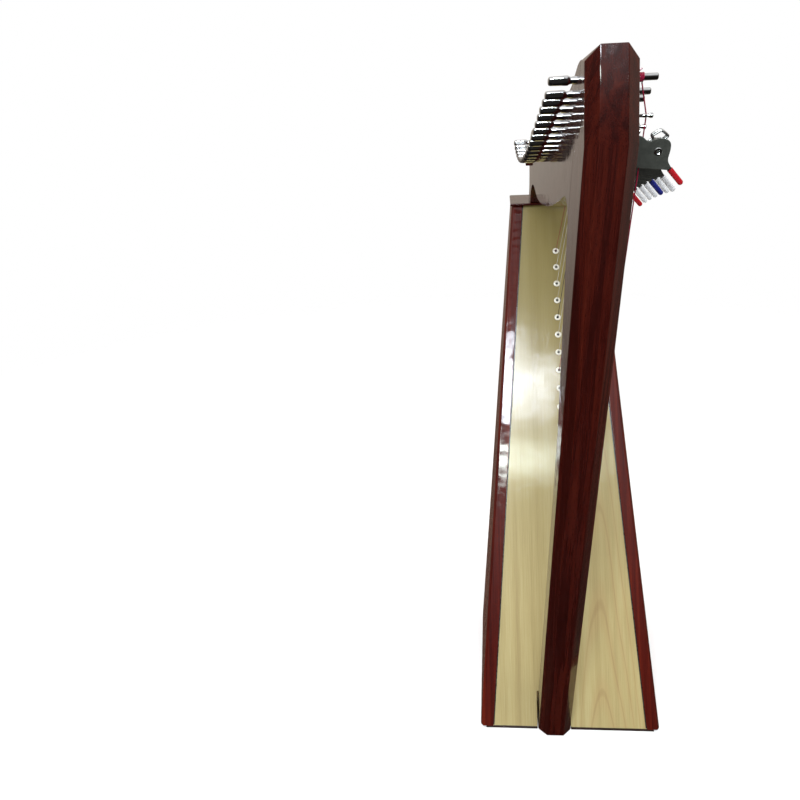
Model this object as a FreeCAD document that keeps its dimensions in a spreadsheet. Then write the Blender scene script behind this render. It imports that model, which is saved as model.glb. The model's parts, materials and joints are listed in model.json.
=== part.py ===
import FreeCAD, Part
import math
import os
import Sketcher

# A small 22-string celtic lever harp. Millimetres, +Z up, floor at Z = 0.
# -Y is the pillar's side, +Y is the player's side, +X is the side of the strings and levers.
# X = 0 is the centre plane of the soundboard, which leans back from the floor.

Vector = FreeCAD.Vector
Rotation = FreeCAD.Rotation
Placement = FreeCAD.Placement
X_AXIS = Vector(1, 0, 0)

STRING_COUNT = 22
LEVER_SIZES = (("large", 1, 8), ("middle", 9, 15), ("small", 16, 22))

# alias, value, what it is
DIMENSIONS = (
    ("board_lean", 32.0, "soundboard's lean from vertical, degrees"),
    ("box_top", 673.0, "height of the soundbox's upper end"),
    ("front_half_bottom", 127.1, "half width of the soundbox front at the bottom"),
    ("front_half_top", 67.1, "half width of the soundbox front at the top"),
    ("front_run", 784.5, "length of the front along its slope"),
    ("base_thickness", 8.0, "base board"),
    ("box_bottom", 3.0, "lower end of the soundbox, just clear of the floor"),
    ("base_depth", 236.0, "back of the soundbox at its lower end"),
    ("box_top_back", 488.0, "back of the soundbox at its upper end"),
    ("side_thickness", 8.0, "side panels"),
    ("back_thickness", 5.0, "back panel"),
    ("rim_width", 18.1, "front rims at the bottom"),
    ("rim_width_top", 17.0, "front rims at the top"),
    ("rim_depth", 10.0, "front rims"),
    ("rim_bevel", 3.5, "bevel on the rims' outer edge"),
    ("board_recess", 1.5, "soundboard's face behind the rims' faces"),
    ("board_thickness", 5.0, "soundboard"),
    ("slot_left", -45.6, "left edge of the slot for the pillar's foot"),
    ("slot_right", 2.4, "right edge of the slot for the pillar's foot"),
    ("slot_run", 44.0, "slot's length up the soundboard"),
    ("slot_play", 0.5, "gap behind the pillar's foot in the base board"),
    ("brace_height", 12.0, "inner braces, along the soundboard"),
    ("brace_depth", 18.0, "inner braces, away from the soundboard"),
    ("block_top", 36.0, "top of the foot block behind the pillar"),
    ("block_back", 72.0, "back of the foot block"),
    ("sound_hole_large", 29.7, "radius of the lowest sound hole in the back"),
    ("sound_hole_middle", 25.65, "radius of the middle sound hole"),
    ("sound_hole_small", 21.6, "radius of the highest sound hole"),
    ("sound_hole_step", 166.25, "height between the sound holes"),
    ("cap_half_width", 69.5, "half width of the top cap at its front edge"),
    ("cap_half_width_back", 65.5, "half width of the top cap at its back edge"),
    ("cap_front", 411.0, "front edge of the top cap"),
    ("cap_back", 493.0, "back edge of the top cap"),
    ("cap_thickness", 3.5, "top cap"),
    ("cap_bevel", 1.0, "bevel round the top cap"),
    ("pillar_right", 0.9, "right face of pillar and neck"),
    ("pillar_width", 45.0, "pillar and neck, left to right"),
    ("pillar_front", -14.2, "front of the pillar at the floor"),
    ("pillar_back", 26.0, "back of the pillar at the floor"),
    ("pillar_lean", 8.66, "pillar's lean from vertical, degrees"),
    ("pillar_bevel", 11.0, "bevels on the pillar's front edges"),
    ("kink_height", 819.0, "where the pillar's front turns back"),
    ("head_height", 895.6, "top of the pillar's head"),
    ("head_front", -112.0, "front of the head at its top"),
    ("head_cut_width", 11.5, "corner cuts of the head, seen from the front"),
    ("head_cut_height", 12.6, "corner cuts of the head, seen from the front"),
    ("joint_low_back", -52.0, "lower end of the joint of pillar and neck, along Y"),
    ("joint_low_height", 738.0, "lower end of the joint, height"),
    ("joint_top_back", -86.0, "upper end of the joint, along Y"),
    ("joint_top_height", 884.0, "upper end of the joint, height"),
    ("neck_taper", 6.1, "how much thinner the neck is at its heel"),
    ("neck_length", 498.0, "run of that taper along Y"),
    ("pin_margin", 12.5, "wood above the tuning pins"),
    ("string_lean", 8.5, "strings' lean from vertical, degrees"),
    ("first_foot", 96.0, "run up the soundboard to the longest string"),
    ("bass_gap", 32.2, "spacing of the longest strings along the soundboard"),
    ("treble_gap", 26.1, "spacing of the shortest strings along the soundboard"),
    ("bass_radius", 0.62, "longest string"),
    ("treble_radius", 0.34, "shortest string"),
    ("knot_radius", 2.4, "knot of a string behind its eyelet"),
    ("bridge_x", 20.0, "strings at the bridge pins"),
    ("coil_x", 13.0, "strings at the tuning pins"),
    ("eyelet_radius", 4.8, "eyelet's flange"),
    ("eyelet_flange", 1.2, "eyelet's flange thickness"),
    ("eyelet_barrel", 2.5, "eyelet's barrel, outer radius"),
    ("eyelet_bore", 1.2, "eyelet's hole, radius"),
    ("eyelet_length", 7.5, "eyelet's barrel, length"),
    ("eyelet_bevel", 0.5, "bevel on the eyelet's flange"),
    ("knot_gap", 0.1, "gap between an eyelet and the knot behind it"),
    ("string_end_drop", 5.0, "end of a string below the middle of its tuning pin"),
    ("pin_left", -69.5, "drive end of the tuning pins"),
    ("pin_right", 25.5, "string end of the tuning pins"),
    ("pin_radius", 3.5, "tuning pin in the neck"),
    ("pin_clearance", 0.05, "running clearance round a tuning pin"),
    ("pin_end_radius", 3.0, "tuning pin outside the neck"),
    ("pin_waist_radius", 3.0, "tuning pin's waist behind its drive end"),
    ("drive_length", 17.0, "tuning pin's drive end"),
    ("drive_radius", 4.6, "tuning pin's drive end, over its corners"),
    ("drive_flat", 7.6, "tuning pin's drive end, across its flats"),
    ("drive_bevel", 1.8, "bevel at the tip of the tuning pin's drive end"),
    ("waist_length", 5.4, "tuning pin's waist, with the slopes at its two ends"),
    ("waist_slope", 1.4, "slope at each end of the waist"),
    ("shank_past_neck", 5.0, "how far the tuning pin keeps its thickness past the neck"),
    ("pin_step", 1.0, "step down to the tuning pin's string end, and the bevel at its tip"),
    ("coil_radius", 4.2, "string's coil on a tuning pin"),
    ("coil_width", 4.0, "string's coil on a tuning pin"),
    ("bridge_pin_radius", 1.5, "bridge pins"),
    ("bridge_pin_end", 25.5, "outer end of the bridge pins"),
    ("bridge_pin_depth", 12.0, "bridge pins in the neck"),
    ("bridge_head_radius", 2.3, "heads of the bridge pins"),
    ("bridge_head_length", 1.5, "heads of the bridge pins"),
    ("bridge_head_bevel", 0.5, "bevel on those heads"),
    ("pivot_x_large", 33.2, "pivots of the large levers"),
    ("pivot_x_middle", 31.8, "pivots of the middle levers"),
    ("pivot_x_small", 28.8, "pivots of the small levers"),
    ("scale_large", 1.0, "size of the large levers"),
    ("scale_middle", 0.85, "size of the middle levers"),
    ("scale_small", 0.7, "size of the small levers"),
    ("axle_radius", 2.0, "lever axle"),
    ("axle_clearance", 0.05, "running clearance round a lever axle"),
    ("hub_radius", 6.5, "lever hub"),
    ("lever_thickness", 4.0, "lever hub and arm"),
    ("fork_reach", 19.0, "lever fork from the pivot"),
    ("fork_root", 4.5, "lower end of the fork, inside the hub"),
    ("fork_slot_start", 11.0, "root of the fork's slot"),
    ("fork_width", 6.0, "lever fork over both prongs"),
    ("fork_bar", 2.6, "thickness of a prong"),
    ("fork_gap", 2.8, "gap for the string between the prongs"),
    ("sleeve_length", 20.0, "lever's sleeve"),
    ("sleeve_radius", 2.6, "lever's sleeve"),
    ("sleeve_x", 13.8, "root of the sleeve, outwards from the pivot"),
    ("sleeve_z", -18.0, "root of the sleeve, up from the pivot"),
    ("sleeve_angle", 48.0, "sleeve's slope below horizontal, degrees"),
    ("cheek_outer", 5.5, "bracket's outer face from the lever's middle"),
    ("cheek_thickness", 2.0, "bracket's plate"),
    ("lobe_radius", 10.8, "bracket's round lobe over the pivot"),
    ("plate_top", 15.0, "top of the bracket's plate from the pivot"),
    ("plate_bottom", -12.5, "bottom of the bracket's plate from the pivot"),
    ("flange_thickness", 2.5, "bracket's foot on the neck"),
    ("flange_top", 15.0, "top of that foot from the pivot"),
    ("flange_bottom", -12.5, "bottom of that foot from the pivot"),
    ("rivet_radius", 3.5, "heads of the lever axle"),
    ("rivet_height", 1.0, "outer head of the lever axle"),
    ("rivet_gap", 0.3, "play between the lever and the axle's inner head"),
    ("rivet_inner_height", 0.8, "inner head of the lever axle"),
    ("screw_radius", 1.3, "lever screws"),
    ("screw_depth", 10.0, "lever screws in the neck"),
    ("screw_head_radius", 2.5, "lever screw heads"),
    ("screw_head_height", 1.8, "lever screw heads"),
    ("screw_side", 1.5, "lever screws beside the lever's middle"),
    ("screw_spread", 8.5, "lever screws above and below the pivot"),
)

# Heights of the control points of the line of tuning pins, evenly spaced along Y.
PIN_LINE_START = -62.0
PIN_LINE_END = 350.0
PIN_LINE_HEIGHTS = (861.0, 822.0, 730.0, 774.0)
FIRST_PIN_RISE = 6.0
# How far the bridge pins are below the tuning pins: in the treble, and how much more in the bass.
BRIDGE_DROP = 24.0
BRIDGE_DROP_BASS = 8.0
# Lever pivots below the bridge pins: a share of the string's length, but at least a share of the fork.
PIVOT_SHARE = 0.041
PIVOT_FORKS = 1.2
SLACK = 0.3
# A string's bend is a ball a little wider than the string.
BEND_SWELL = 1.3
ROUNDS = 12

# The neck's lower edge, from the joint with the pillar to the heel, as (Y, Z).
NECK_INNER_CORNER = ((-52.0, 738.0), (-45.0, 751.0), (-11.0, 758.0))
NECK_BELLY = ((-11.0, 758.0), (58.0, 739.0), (143.0, 720.0), (232.0, 708.0), (310.0, 707.0),
              (362.0, 712.0), (395.0, 703.0), (414.0, 676.5))
# The neck's scroll, from the last tuning pin round to the back of the heel.
NECK_SCROLL = ((404.0, 787.0), (440.0, 772.0), (450.0, 748.0), (441.0, 715.0), (446.0, 676.5))

doc = FreeCAD.newDocument("lever_harp")
sheet = doc.addObject("Spreadsheet::Sheet", "dims")
sizes = {}


def store(alias, value, note=""):
    """Put one named number in the next row of the sheet."""
    row = len(sizes) + 1
    sheet.set("A%d" % row, alias)
    sheet.set("B%d" % row, "%.6f" % value)
    sheet.setAlias("B%d" % row, alias)
    sheet.set("C%d" % row, note)
    sizes[alias] = float(value)


for alias, value, note in DIMENSIONS:
    store(alias, value, note)


def front_point(run, depth):
    """A point of the soundboard's centre plane: run up the slope, depth into the box."""
    lean = math.radians(sizes["board_lean"])
    y = run * math.sin(lean) + depth * math.cos(lean)
    z = sizes["base_thickness"] + run * math.cos(lean) - depth * math.sin(lean)
    return y, z


def pin_line(y):
    """Height of the smooth line of tuning pins, a cubic curve with four control heights."""
    u = (y - PIN_LINE_START) / (PIN_LINE_END - PIN_LINE_START)
    weights = ((1 - u) ** 3, 3 * u * (1 - u) ** 2, 3 * u * u * (1 - u), u ** 3)
    return sum(weight * height for weight, height in zip(weights, PIN_LINE_HEIGHTS))


def bridge_drop(y):
    """How far a bridge pin is below its tuning pin: more in the bass."""
    u = (y - PIN_LINE_START) / (PIN_LINE_END - PIN_LINE_START)
    return BRIDGE_DROP + BRIDGE_DROP_BASS * (1 - u) ** 3


def lever_size(number):
    for name, first, last in LEVER_SIZES:
        if first <= number <= last:
            return name
    raise ValueError(number)


def store_string(number):
    """Work out one string, its pins and its lever, and put them in the sheet."""
    share = (number - 1) / (STRING_COUNT - 1)
    tag = "_%02d" % number
    radius = sizes["bass_radius"] + (sizes["treble_radius"] - sizes["bass_radius"]) * share
    steps = number - 1
    shrink = (sizes["bass_gap"] - sizes["treble_gap"]) / (STRING_COUNT - 2)
    run = sizes["first_foot"] + steps * sizes["bass_gap"] - shrink * steps * (steps - 1) / 2
    mouth_y, mouth_z = front_point(run, sizes["board_recess"] - sizes["eyelet_flange"])
    slope = math.tan(math.radians(sizes["string_lean"]))
    square = math.cos(math.radians(sizes["string_lean"]))
    y = mouth_y
    for _ in range(ROUNDS):
        top = pin_line(y)
        y = mouth_y - (top - mouth_z) * slope
    if number == 1:
        top += FIRST_PIN_RISE
        y = mouth_y - (top - mouth_z) * slope
    bridge_z = top - bridge_drop(y)
    bridge_y = mouth_y - (bridge_z - mouth_z) * slope
    length = (bridge_z - mouth_z) / square
    scale = sizes["scale_" + lever_size(number)]
    below = max(PIVOT_SHARE * length, PIVOT_FORKS * sizes["fork_reach"] * scale)
    pivot_z = bridge_z - below * square
    store("foot_run" + tag, run)
    store("radius" + tag, radius)
    store("mouth_y" + tag, mouth_y)
    store("mouth_z" + tag, mouth_z)
    store("seat_y" + tag, bridge_y)
    store("seat_z" + tag, bridge_z)
    store("tuning_y" + tag, y - (sizes["pin_end_radius"] + radius + SLACK) / square)
    store("tuning_z" + tag, top)
    beside = sizes["bridge_pin_radius"] + radius * BEND_SWELL + sizes["pin_clearance"]
    store("bridge_y" + tag, bridge_y - beside / square)
    store("bridge_z" + tag, bridge_z)
    store("pivot_y" + tag, mouth_y - (pivot_z - mouth_z) * slope)
    store("pivot_z" + tag, pivot_z)


for string_number in range(1, STRING_COUNT + 1):
    store_string(string_number)
doc.recompute()


def cell(alias):
    """The expression that reads one cell of the sheet."""
    return "dims." + alias


# ---------------------------------------------------------------- sketch and feature helpers

def origin_plane(body, role):
    for feature in body.Origin.OriginFeatures:
        if feature.Role == role:
            return feature
    raise ValueError(role)


def new_body(label):
    body = doc.addObject("PartDesign::Body", label)
    body.Label = label
    return body


def sketch_on(body, name, role, offset=None):
    """A sketch on one of the body's own planes, moved along the plane's normal by offset."""
    sketch = body.newObject("Sketcher::SketchObject", name)
    sketch.AttachmentSupport = [(origin_plane(body, role), "")]
    sketch.MapMode = "FlatFace"
    if offset is not None:
        sketch.setExpression("AttachmentOffset.Base.z", offset)
    return sketch


def add_polygon(sketch, corners):
    """A closed outline whose corners are pairs of expressions."""
    count = len(corners)
    first = sketch.GeometryCount
    start = [Vector(100 * math.cos(2 * math.pi * i / count),
                    100 * math.sin(2 * math.pi * i / count), 0) for i in range(count)]
    lines = [Part.LineSegment(start[i], start[(i + 1) % count]) for i in range(count)]
    sketch.addGeometry(lines, False)
    constraints = []
    for i in range(count):
        constraints.append(
            Sketcher.Constraint("Coincident", first + i, 2, first + (i + 1) % count, 1))
    for i in range(count):
        constraints.append(Sketcher.Constraint("DistanceX", first + i, 1, start[i].x))
        constraints.append(Sketcher.Constraint("DistanceY", first + i, 1, start[i].y))
    index = sketch.ConstraintCount + count
    sketch.addConstraint(constraints)
    for x, y in corners:
        sketch.setExpression("Constraints[%d]" % index, x)
        sketch.setExpression("Constraints[%d]" % (index + 1), y)
        index += 2


def add_circle(sketch, x, y, radius):
    """A circle whose centre and radius are expressions."""
    geometry = sketch.addGeometry(Part.Circle(Vector(10, 10, 0), Vector(0, 0, 1), 5), False)
    index = sketch.ConstraintCount
    sketch.addConstraint([Sketcher.Constraint("DistanceX", geometry, 3, 10),
                          Sketcher.Constraint("DistanceY", geometry, 3, 10),
                          Sketcher.Constraint("Radius", geometry, 5)])
    sketch.setExpression("Constraints[%d]" % index, x)
    sketch.setExpression("Constraints[%d]" % (index + 1), y)
    sketch.setExpression("Constraints[%d]" % (index + 2), radius)


def rectangle(low_x, low_y, high_x, high_y):
    return ((low_x, low_y), (high_x, low_y), (high_x, high_y), (low_x, high_y))


def pad(body, sketch, length, direction="forward"):
    """Pad a sketch by an expression's length: forward, backward or symmetric."""
    feature = body.newObject("PartDesign::Pad", sketch.Name + "_pad")
    feature.Profile = sketch
    feature.setExpression("Length", length)
    if direction == "backward":
        feature.Reversed = True
    if direction == "symmetric":
        feature.SideType = "Symmetric"
    sketch.Visibility = False
    return feature


def pocket(body, sketch, length=None, direction="forward"):
    """Cut a sketch out, through everything if no length is given, and check that it cuts."""
    doc.recompute()
    before = body.Shape.Volume
    feature = body.newObject("PartDesign::Pocket", sketch.Name + "_pocket")
    feature.Profile = sketch
    if length is None:
        feature.Type = "ThroughAll"
    else:
        feature.setExpression("Length", length)
    if direction == "backward":
        feature.Reversed = True
    if direction == "symmetric":
        feature.SideType = "Symmetric"
    sketch.Visibility = False
    doc.recompute()
    if body.Shape.Volume > before - 1e-3:
        raise RuntimeError(feature.Name + " cuts nothing")
    return feature


def revolve(body, sketch, axis):
    feature = body.newObject("PartDesign::Revolution", sketch.Name + "_turned")
    feature.Profile = sketch
    feature.ReferenceAxis = (sketch, [axis])
    feature.Angle = 360
    sketch.Visibility = False
    return feature


def edge_names(shape, ends):
    """Names of the edges that run between the given pairs of points."""
    names = []
    for i, edge in enumerate(shape.Edges):
        corners = [vertex.Point for vertex in edge.Vertexes]
        for first, second in ends:
            for a, b in ((first, second), (second, first)):
                if len(corners) == 2 and corners[0].distanceToPoint(a) < 0.01 \
                        and corners[1].distanceToPoint(b) < 0.01:
                    names.append("Edge%d" % (i + 1))
    return names


def chamfer(body, base, names, size):
    if not names:
        raise RuntimeError("no edge to bevel on " + body.Name)
    feature = body.newObject("PartDesign::Chamfer", body.Name + "_bevel")
    feature.Base = (base, names)
    feature.setExpression("Size", size)
    return feature


def lean_with_board(obj):
    """Place an object that is drawn flat, +Z up the slope and +Y into the box."""
    obj.Placement = Placement(Vector(0, 0, sizes["base_thickness"]),
                              Rotation(X_AXIS, -sizes["board_lean"]))
    obj.setExpression("Placement.Base.z", cell("base_thickness"))


def overlap(label, first, second):
    obj = doc.addObject("Part::Common", label)
    obj.Label = label
    obj.Base = first
    obj.Tool = second
    return obj


def cut(label, base, tool):
    obj = doc.addObject("Part::Cut", label)
    obj.Label = label
    obj.Base = base
    obj.Tool = tool
    return obj


def copies(label, master, placements):
    """A group of separate solids: one linked copy of the master at each placement."""
    links = []
    for i, placement in enumerate(placements):
        link = doc.addObject("App::Link", "%s_copy_%02d" % (label, i + 1))
        link.LinkedObject = master
        link.Placement = placement
        links.append(link)
    group = doc.addObject("Part::Compound", label)
    group.Label = label
    group.Links = links
    return group


def clone(label, master, base, angle):
    """A body of its own that repeats a master at base, turned by angle about X."""
    body = new_body(label)
    feature = body.newObject("PartDesign::FeatureBase", label + "_clone")
    feature.BaseFeature = master
    body.Tip = feature
    body.Placement = Placement(Vector(*[sizes.get(item, 0.0) for item in base]),
                               Rotation(X_AXIS, angle))
    for axis, item in zip("xyz", base):
        if item in sizes:
            body.setExpression("Placement.Base." + axis, cell(item))
    return body


# ---------------------------------------------------------------- soundbox

LONG_WAY = "1400 mm"
FRONT_SLOPE = "((dims.front_half_bottom - dims.front_half_top) / dims.front_run)"
RIM_SLOPE = ("((dims.front_half_bottom - dims.rim_width - dims.front_half_top"
             " + dims.rim_width_top) / dims.front_run)")


def half_width(run, inset="0"):
    """Half width of the soundbox, less an inset, at a run up the slope."""
    return "(dims.front_half_bottom - %s - %s * (%s))" % (inset, FRONT_SLOPE, run)


def inner_rim_edge(run):
    return "(dims.front_half_bottom - dims.rim_width - %s * (%s))" % (RIM_SLOPE, run)


LOW_RUN = "-200"
HIGH_RUN = "950"
# How far cutting shapes reach past what they cut.
CLEAR_OF_BACK = 50
CLEAR_OF_ALL = 900
PAST_EDGE = 20
SLOT_FRONT = 60
WIDE_WAY = "500 mm"
# The braces lie just above these strings' feet.
BRACE_PLACES = (5, 11, 17)


def tapering_prism(name, inset):
    """Everything between the box's sides, less an inset, drawn along the soundboard."""
    body = new_body(name)
    outline = sketch_on(body, name + "_outline", "XZ_Plane")
    low = half_width(LOW_RUN, inset)
    high = half_width(HIGH_RUN, inset)
    add_polygon(outline, (("-" + low, LOW_RUN), (low, LOW_RUN), (high, HIGH_RUN), ("-" + high, HIGH_RUN)))
    pad(body, outline, LONG_WAY, "symmetric")
    lean_with_board(body)
    return body


def side_section(name, corners):
    """A side view, in (Y, Z), drawn out to both sides."""
    body = new_body(name)
    outline = sketch_on(body, name + "_outline", "YZ_Plane")
    add_polygon(outline, corners)
    pad(body, outline, WIDE_WAY, "symmetric")
    return body



def front_y(height, depth="0"):
    """Along Y, the soundbox's front at a height, or the plane at a depth behind it."""
    lean = "(dims.board_lean * 1 deg)"
    return "((%s - dims.base_thickness) * tan(%s) + %s / cos(%s))" % (height, lean, depth, lean)


# The back panel's thickness measured along Y.
BACK_RISE = "(dims.box_top - dims.box_bottom)"
BACK_REACH = "(dims.box_top_back - dims.base_depth)"
BACK_ALONG_Y = "(dims.back_thickness * sqrt(%s ^ 2 + %s ^ 2) / %s)" % (BACK_RISE, BACK_REACH, BACK_RISE)

box_section = side_section("box_section", (
    (front_y("dims.box_bottom"), "dims.box_bottom"), ("dims.base_depth", "dims.box_bottom"),
    ("dims.box_top_back", "dims.box_top"), (front_y("dims.box_top"), "dims.box_top")))

inner_prism = tapering_prism("inner_prism", "dims.side_thickness")
between_rims = tapering_prism("between_rims", "dims.rim_width")


def strip_outline(sign, outer_low, outer_high, inner_low, inner_high):
    corners = ((outer_low, LOW_RUN), (outer_high, HIGH_RUN), (inner_high, HIGH_RUN), (inner_low, LOW_RUN))
    return tuple((sign + x, y) for x, y in corners)


def make_side_panel(label, sign):
    """One side of the soundbox, behind the rim, from the floor to the cap."""
    body = new_body(label + "_blank")
    outline = sketch_on(body, label + "_outline", "XZ_Plane", "-dims.rim_depth")
    add_polygon(outline, strip_outline(
        sign, half_width(LOW_RUN), half_width(HIGH_RUN),
        half_width(LOW_RUN, "dims.side_thickness"), half_width(HIGH_RUN, "dims.side_thickness")))
    pad(body, outline, LONG_WAY, "backward")
    lean_with_board(body)
    return overlap(label, body, box_section)


def make_rim(label, sign):
    """The strip along one edge of the soundboard, with its outer front edge bevelled."""
    body = new_body(label + "_blank")
    outline = sketch_on(body, label + "_outline", "XZ_Plane")
    add_polygon(outline, strip_outline(
        sign, half_width(LOW_RUN), half_width(HIGH_RUN),
        inner_rim_edge(LOW_RUN), inner_rim_edge(HIGH_RUN)))
    blank = pad(body, outline, "dims.rim_depth", "backward")
    doc.recompute()
    slope = (sizes["front_half_bottom"] - sizes["front_half_top"]) / sizes["front_run"]
    side = -1 if sign == "-" else 1
    low = Vector(side * (sizes["front_half_bottom"] - slope * float(LOW_RUN)), 0, float(LOW_RUN))
    high = Vector(side * (sizes["front_half_bottom"] - slope * float(HIGH_RUN)), 0, float(HIGH_RUN))
    chamfer(body, blank, edge_names(blank.Shape, [(low, high)]), "dims.rim_bevel")
    lean_with_board(body)
    return overlap(label, body, box_section)


def make_soundboard():
    """The board between the rims, with a hole for each eyelet and a slot for the pillar's foot."""
    body = new_body("soundboard_blank")
    outline = sketch_on(body, "soundboard_outline", "XZ_Plane", "-dims.board_recess")
    low = inner_rim_edge(LOW_RUN)
    high = inner_rim_edge(HIGH_RUN)
    add_polygon(outline, (("-" + low, LOW_RUN), (low, LOW_RUN), (high, HIGH_RUN), ("-" + high, HIGH_RUN)))
    pad(body, outline, "dims.board_thickness", "backward")
    slot = sketch_on(body, "foot_slot", "XZ_Plane")
    add_polygon(slot, rectangle("dims.slot_left", LOW_RUN, "dims.slot_right", "dims.slot_run"))
    pocket(body, slot, None, "symmetric")
    holes = sketch_on(body, "eyelet_holes", "XZ_Plane")
    for number in range(1, STRING_COUNT + 1):
        add_circle(holes, "0", cell("foot_run_%02d" % number), "dims.eyelet_barrel")
    pocket(body, holes, None, "symmetric")
    lean_with_board(body)
    return overlap("soundboard", body, box_section)


def make_back_panel():
    """The back between the side panels, with three round sound holes."""
    section = side_section("back_section", (
        ("dims.base_depth - " + BACK_ALONG_Y, "dims.box_bottom"),
        ("dims.base_depth", "dims.box_bottom"),
        ("dims.box_top_back", "dims.box_top"),
        ("dims.box_top_back - " + BACK_ALONG_Y, "dims.box_top")))
    blank = overlap("back_blank", inner_prism, section)
    drill = new_body("sound_hole_drill")
    outline = sketch_on(drill, "sound_holes", "XZ_Plane")
    for place, size in enumerate(("large", "middle", "small")):
        height = "dims.base_thickness + %d * dims.sound_hole_step" % (place + 1)
        add_circle(outline, "0", height, "dims.sound_hole_" + size)
    pad(drill, outline, LONG_WAY, "symmetric")
    far = "dims.base_depth + %d" % CLEAR_OF_ALL
    behind = side_section("behind_board", (
        ("dims.base_depth - %d" % CLEAR_OF_BACK, "0"), (far, "0"),
        (far, "dims.box_top"), ("dims.box_top_back - %d" % CLEAR_OF_BACK, "dims.box_top")))
    return cut("back_panel", blank, overlap("sound_hole_plugs", drill, behind))


def make_base_board():
    """The floor of the soundbox, with a lip under the soundboard and a slot for the pillar's foot."""
    back = "dims.base_depth - " + BACK_ALONG_Y
    section = side_section("base_section", (
        (front_y("0", "dims.board_recess"), "0"), (back, "0"), (back, "dims.base_thickness"),
        (front_y("dims.base_thickness", "dims.rim_depth"), "dims.base_thickness"),
        (front_y("dims.box_bottom", "dims.rim_depth"), "dims.box_bottom"),
        (front_y("dims.box_bottom", "dims.board_recess"), "dims.box_bottom")))
    blank = overlap("base_blank", inner_prism, section)
    slot = doc.addObject("Part::Box", "base_slot")
    slot.setExpression("Length", "dims.slot_right - dims.slot_left")
    slot.setExpression("Width", "dims.pillar_back + dims.slot_play + %d" % SLOT_FRONT)
    slot.setExpression("Height", "dims.base_thickness + %d" % (2 * PAST_EDGE))
    slot.Placement = Placement(Vector(sizes["slot_left"], -SLOT_FRONT, -PAST_EDGE), Rotation())
    slot.setExpression("Placement.Base.x", cell("slot_left"))
    return cut("base_board", blank, slot)


def make_top_cap():
    """The small board that closes the soundbox and carries the neck's heel."""
    body = new_body("top_cap")
    outline = sketch_on(body, "cap_outline", "XY_Plane", "dims.box_top")
    add_polygon(outline, (
        ("-dims.cap_half_width", "dims.cap_front"), ("dims.cap_half_width", "dims.cap_front"),
        ("dims.cap_half_width_back", "dims.cap_back"), ("-dims.cap_half_width_back", "dims.cap_back")))
    block = pad(body, outline, "dims.cap_thickness")
    doc.recompute()
    top = sizes["box_top"] + sizes["cap_thickness"]
    names = []
    for i, edge in enumerate(block.Shape.Edges):
        if all(abs(vertex.Z - top) < 0.01 for vertex in edge.Vertexes):
            names.append("Edge%d" % (i + 1))
    chamfer(body, block, names, "dims.cap_bevel")
    return body


def make_inner_braces():
    """Three cross bars glued to the soundboard's back, and the block that holds the pillar's foot."""
    board_back = "(dims.board_recess + dims.board_thickness)"
    bars = new_body("cross_bars")
    for below in BRACE_PLACES:
        side = sketch_on(bars, "cross_bar_%02d" % below, "YZ_Plane")
        middle = "(dims.foot_run_%02d + dims.foot_run_%02d) / 2" % (below, below + 1)
        add_polygon(side, rectangle(board_back, middle + " - dims.brace_height / 2",
                                    board_back + " + dims.brace_depth",
                                    middle + " + dims.brace_height / 2"))
        bars.AllowCompound = True
        pad(bars, side, WIDE_WAY, "symmetric")
    lean_with_board(bars)
    fitted = overlap("fitted_bars", bars, between_rims)
    block = new_body("foot_block")
    side = sketch_on(block, "foot_block_side", "YZ_Plane", "dims.pillar_right")
    lean = "tan(dims.pillar_lean * 1 deg)"
    add_polygon(side, (
        ("dims.pillar_back - dims.base_thickness * " + lean, "dims.base_thickness"),
        ("dims.block_back", "dims.base_thickness"),
        ("dims.block_back", "dims.block_top"),
        ("dims.pillar_back - dims.block_top * " + lean, "dims.block_top")))
    pad(block, side, "dims.pillar_width", "backward")
    group = doc.addObject("Part::Compound", "inner_braces")
    group.Label = "inner_braces"
    group.Links = [fitted, block]
    return group


# ---------------------------------------------------------------- pillar and neck

def make_pillar():
    """The leaning front column, with bevelled front edges, a kinked head and cut head corners."""
    body = new_body("pillar")
    side = sketch_on(body, "pillar_side", "YZ_Plane", "dims.pillar_right")
    lean = "tan(dims.pillar_lean * 1 deg)"
    turn = "(dims.pillar_back - dims.joint_low_back) / " + lean
    add_polygon(side, (
        ("dims.pillar_front", "0"),
        ("dims.pillar_front - dims.kink_height * " + lean, "dims.kink_height"),
        ("dims.head_front", "dims.head_height"),
        ("dims.joint_top_back", "dims.joint_top_height"),
        ("dims.joint_low_back", "dims.joint_low_height"),
        ("dims.joint_low_back", turn),
        ("dims.pillar_back", "0")))
    column = pad(body, side, "dims.pillar_width", "backward")
    doc.recompute()
    kink_y = sizes["pillar_front"] - sizes["kink_height"] * math.tan(math.radians(sizes["pillar_lean"]))
    ends = []
    for x in (sizes["pillar_right"], sizes["pillar_right"] - sizes["pillar_width"]):
        foot = Vector(x, sizes["pillar_front"], 0)
        kink = Vector(x, kink_y, sizes["kink_height"])
        head = Vector(x, sizes["head_front"], sizes["head_height"])
        ends.append((foot, kink))
        ends.append((kink, head))
    chamfer(body, column, edge_names(column.Shape, ends), "dims.pillar_bevel")
    corners = sketch_on(body, "head_corners", "XZ_Plane")
    for edge, sign in (("dims.pillar_right", "-"), ("(dims.pillar_right - dims.pillar_width)", "+")):
        inwards = "%s %s dims.head_cut_width" % (edge, sign)
        outwards = "%s %s -%d" % (edge, sign, PAST_EDGE)
        above = "dims.head_height + %d" % PAST_EDGE
        add_polygon(corners, (
            (edge, "dims.head_height - dims.head_cut_height"),
            (inwards, "dims.head_height"), (inwards, above), (outwards, above),
            (outwards, "dims.head_height - dims.head_cut_height")))
    pocket(body, corners, None, "symmetric")
    return body


def spline_through(points):
    curve = Part.BSplineCurve()
    curve.interpolate([Vector(y, z, 0) for y, z in points])
    return curve


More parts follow.
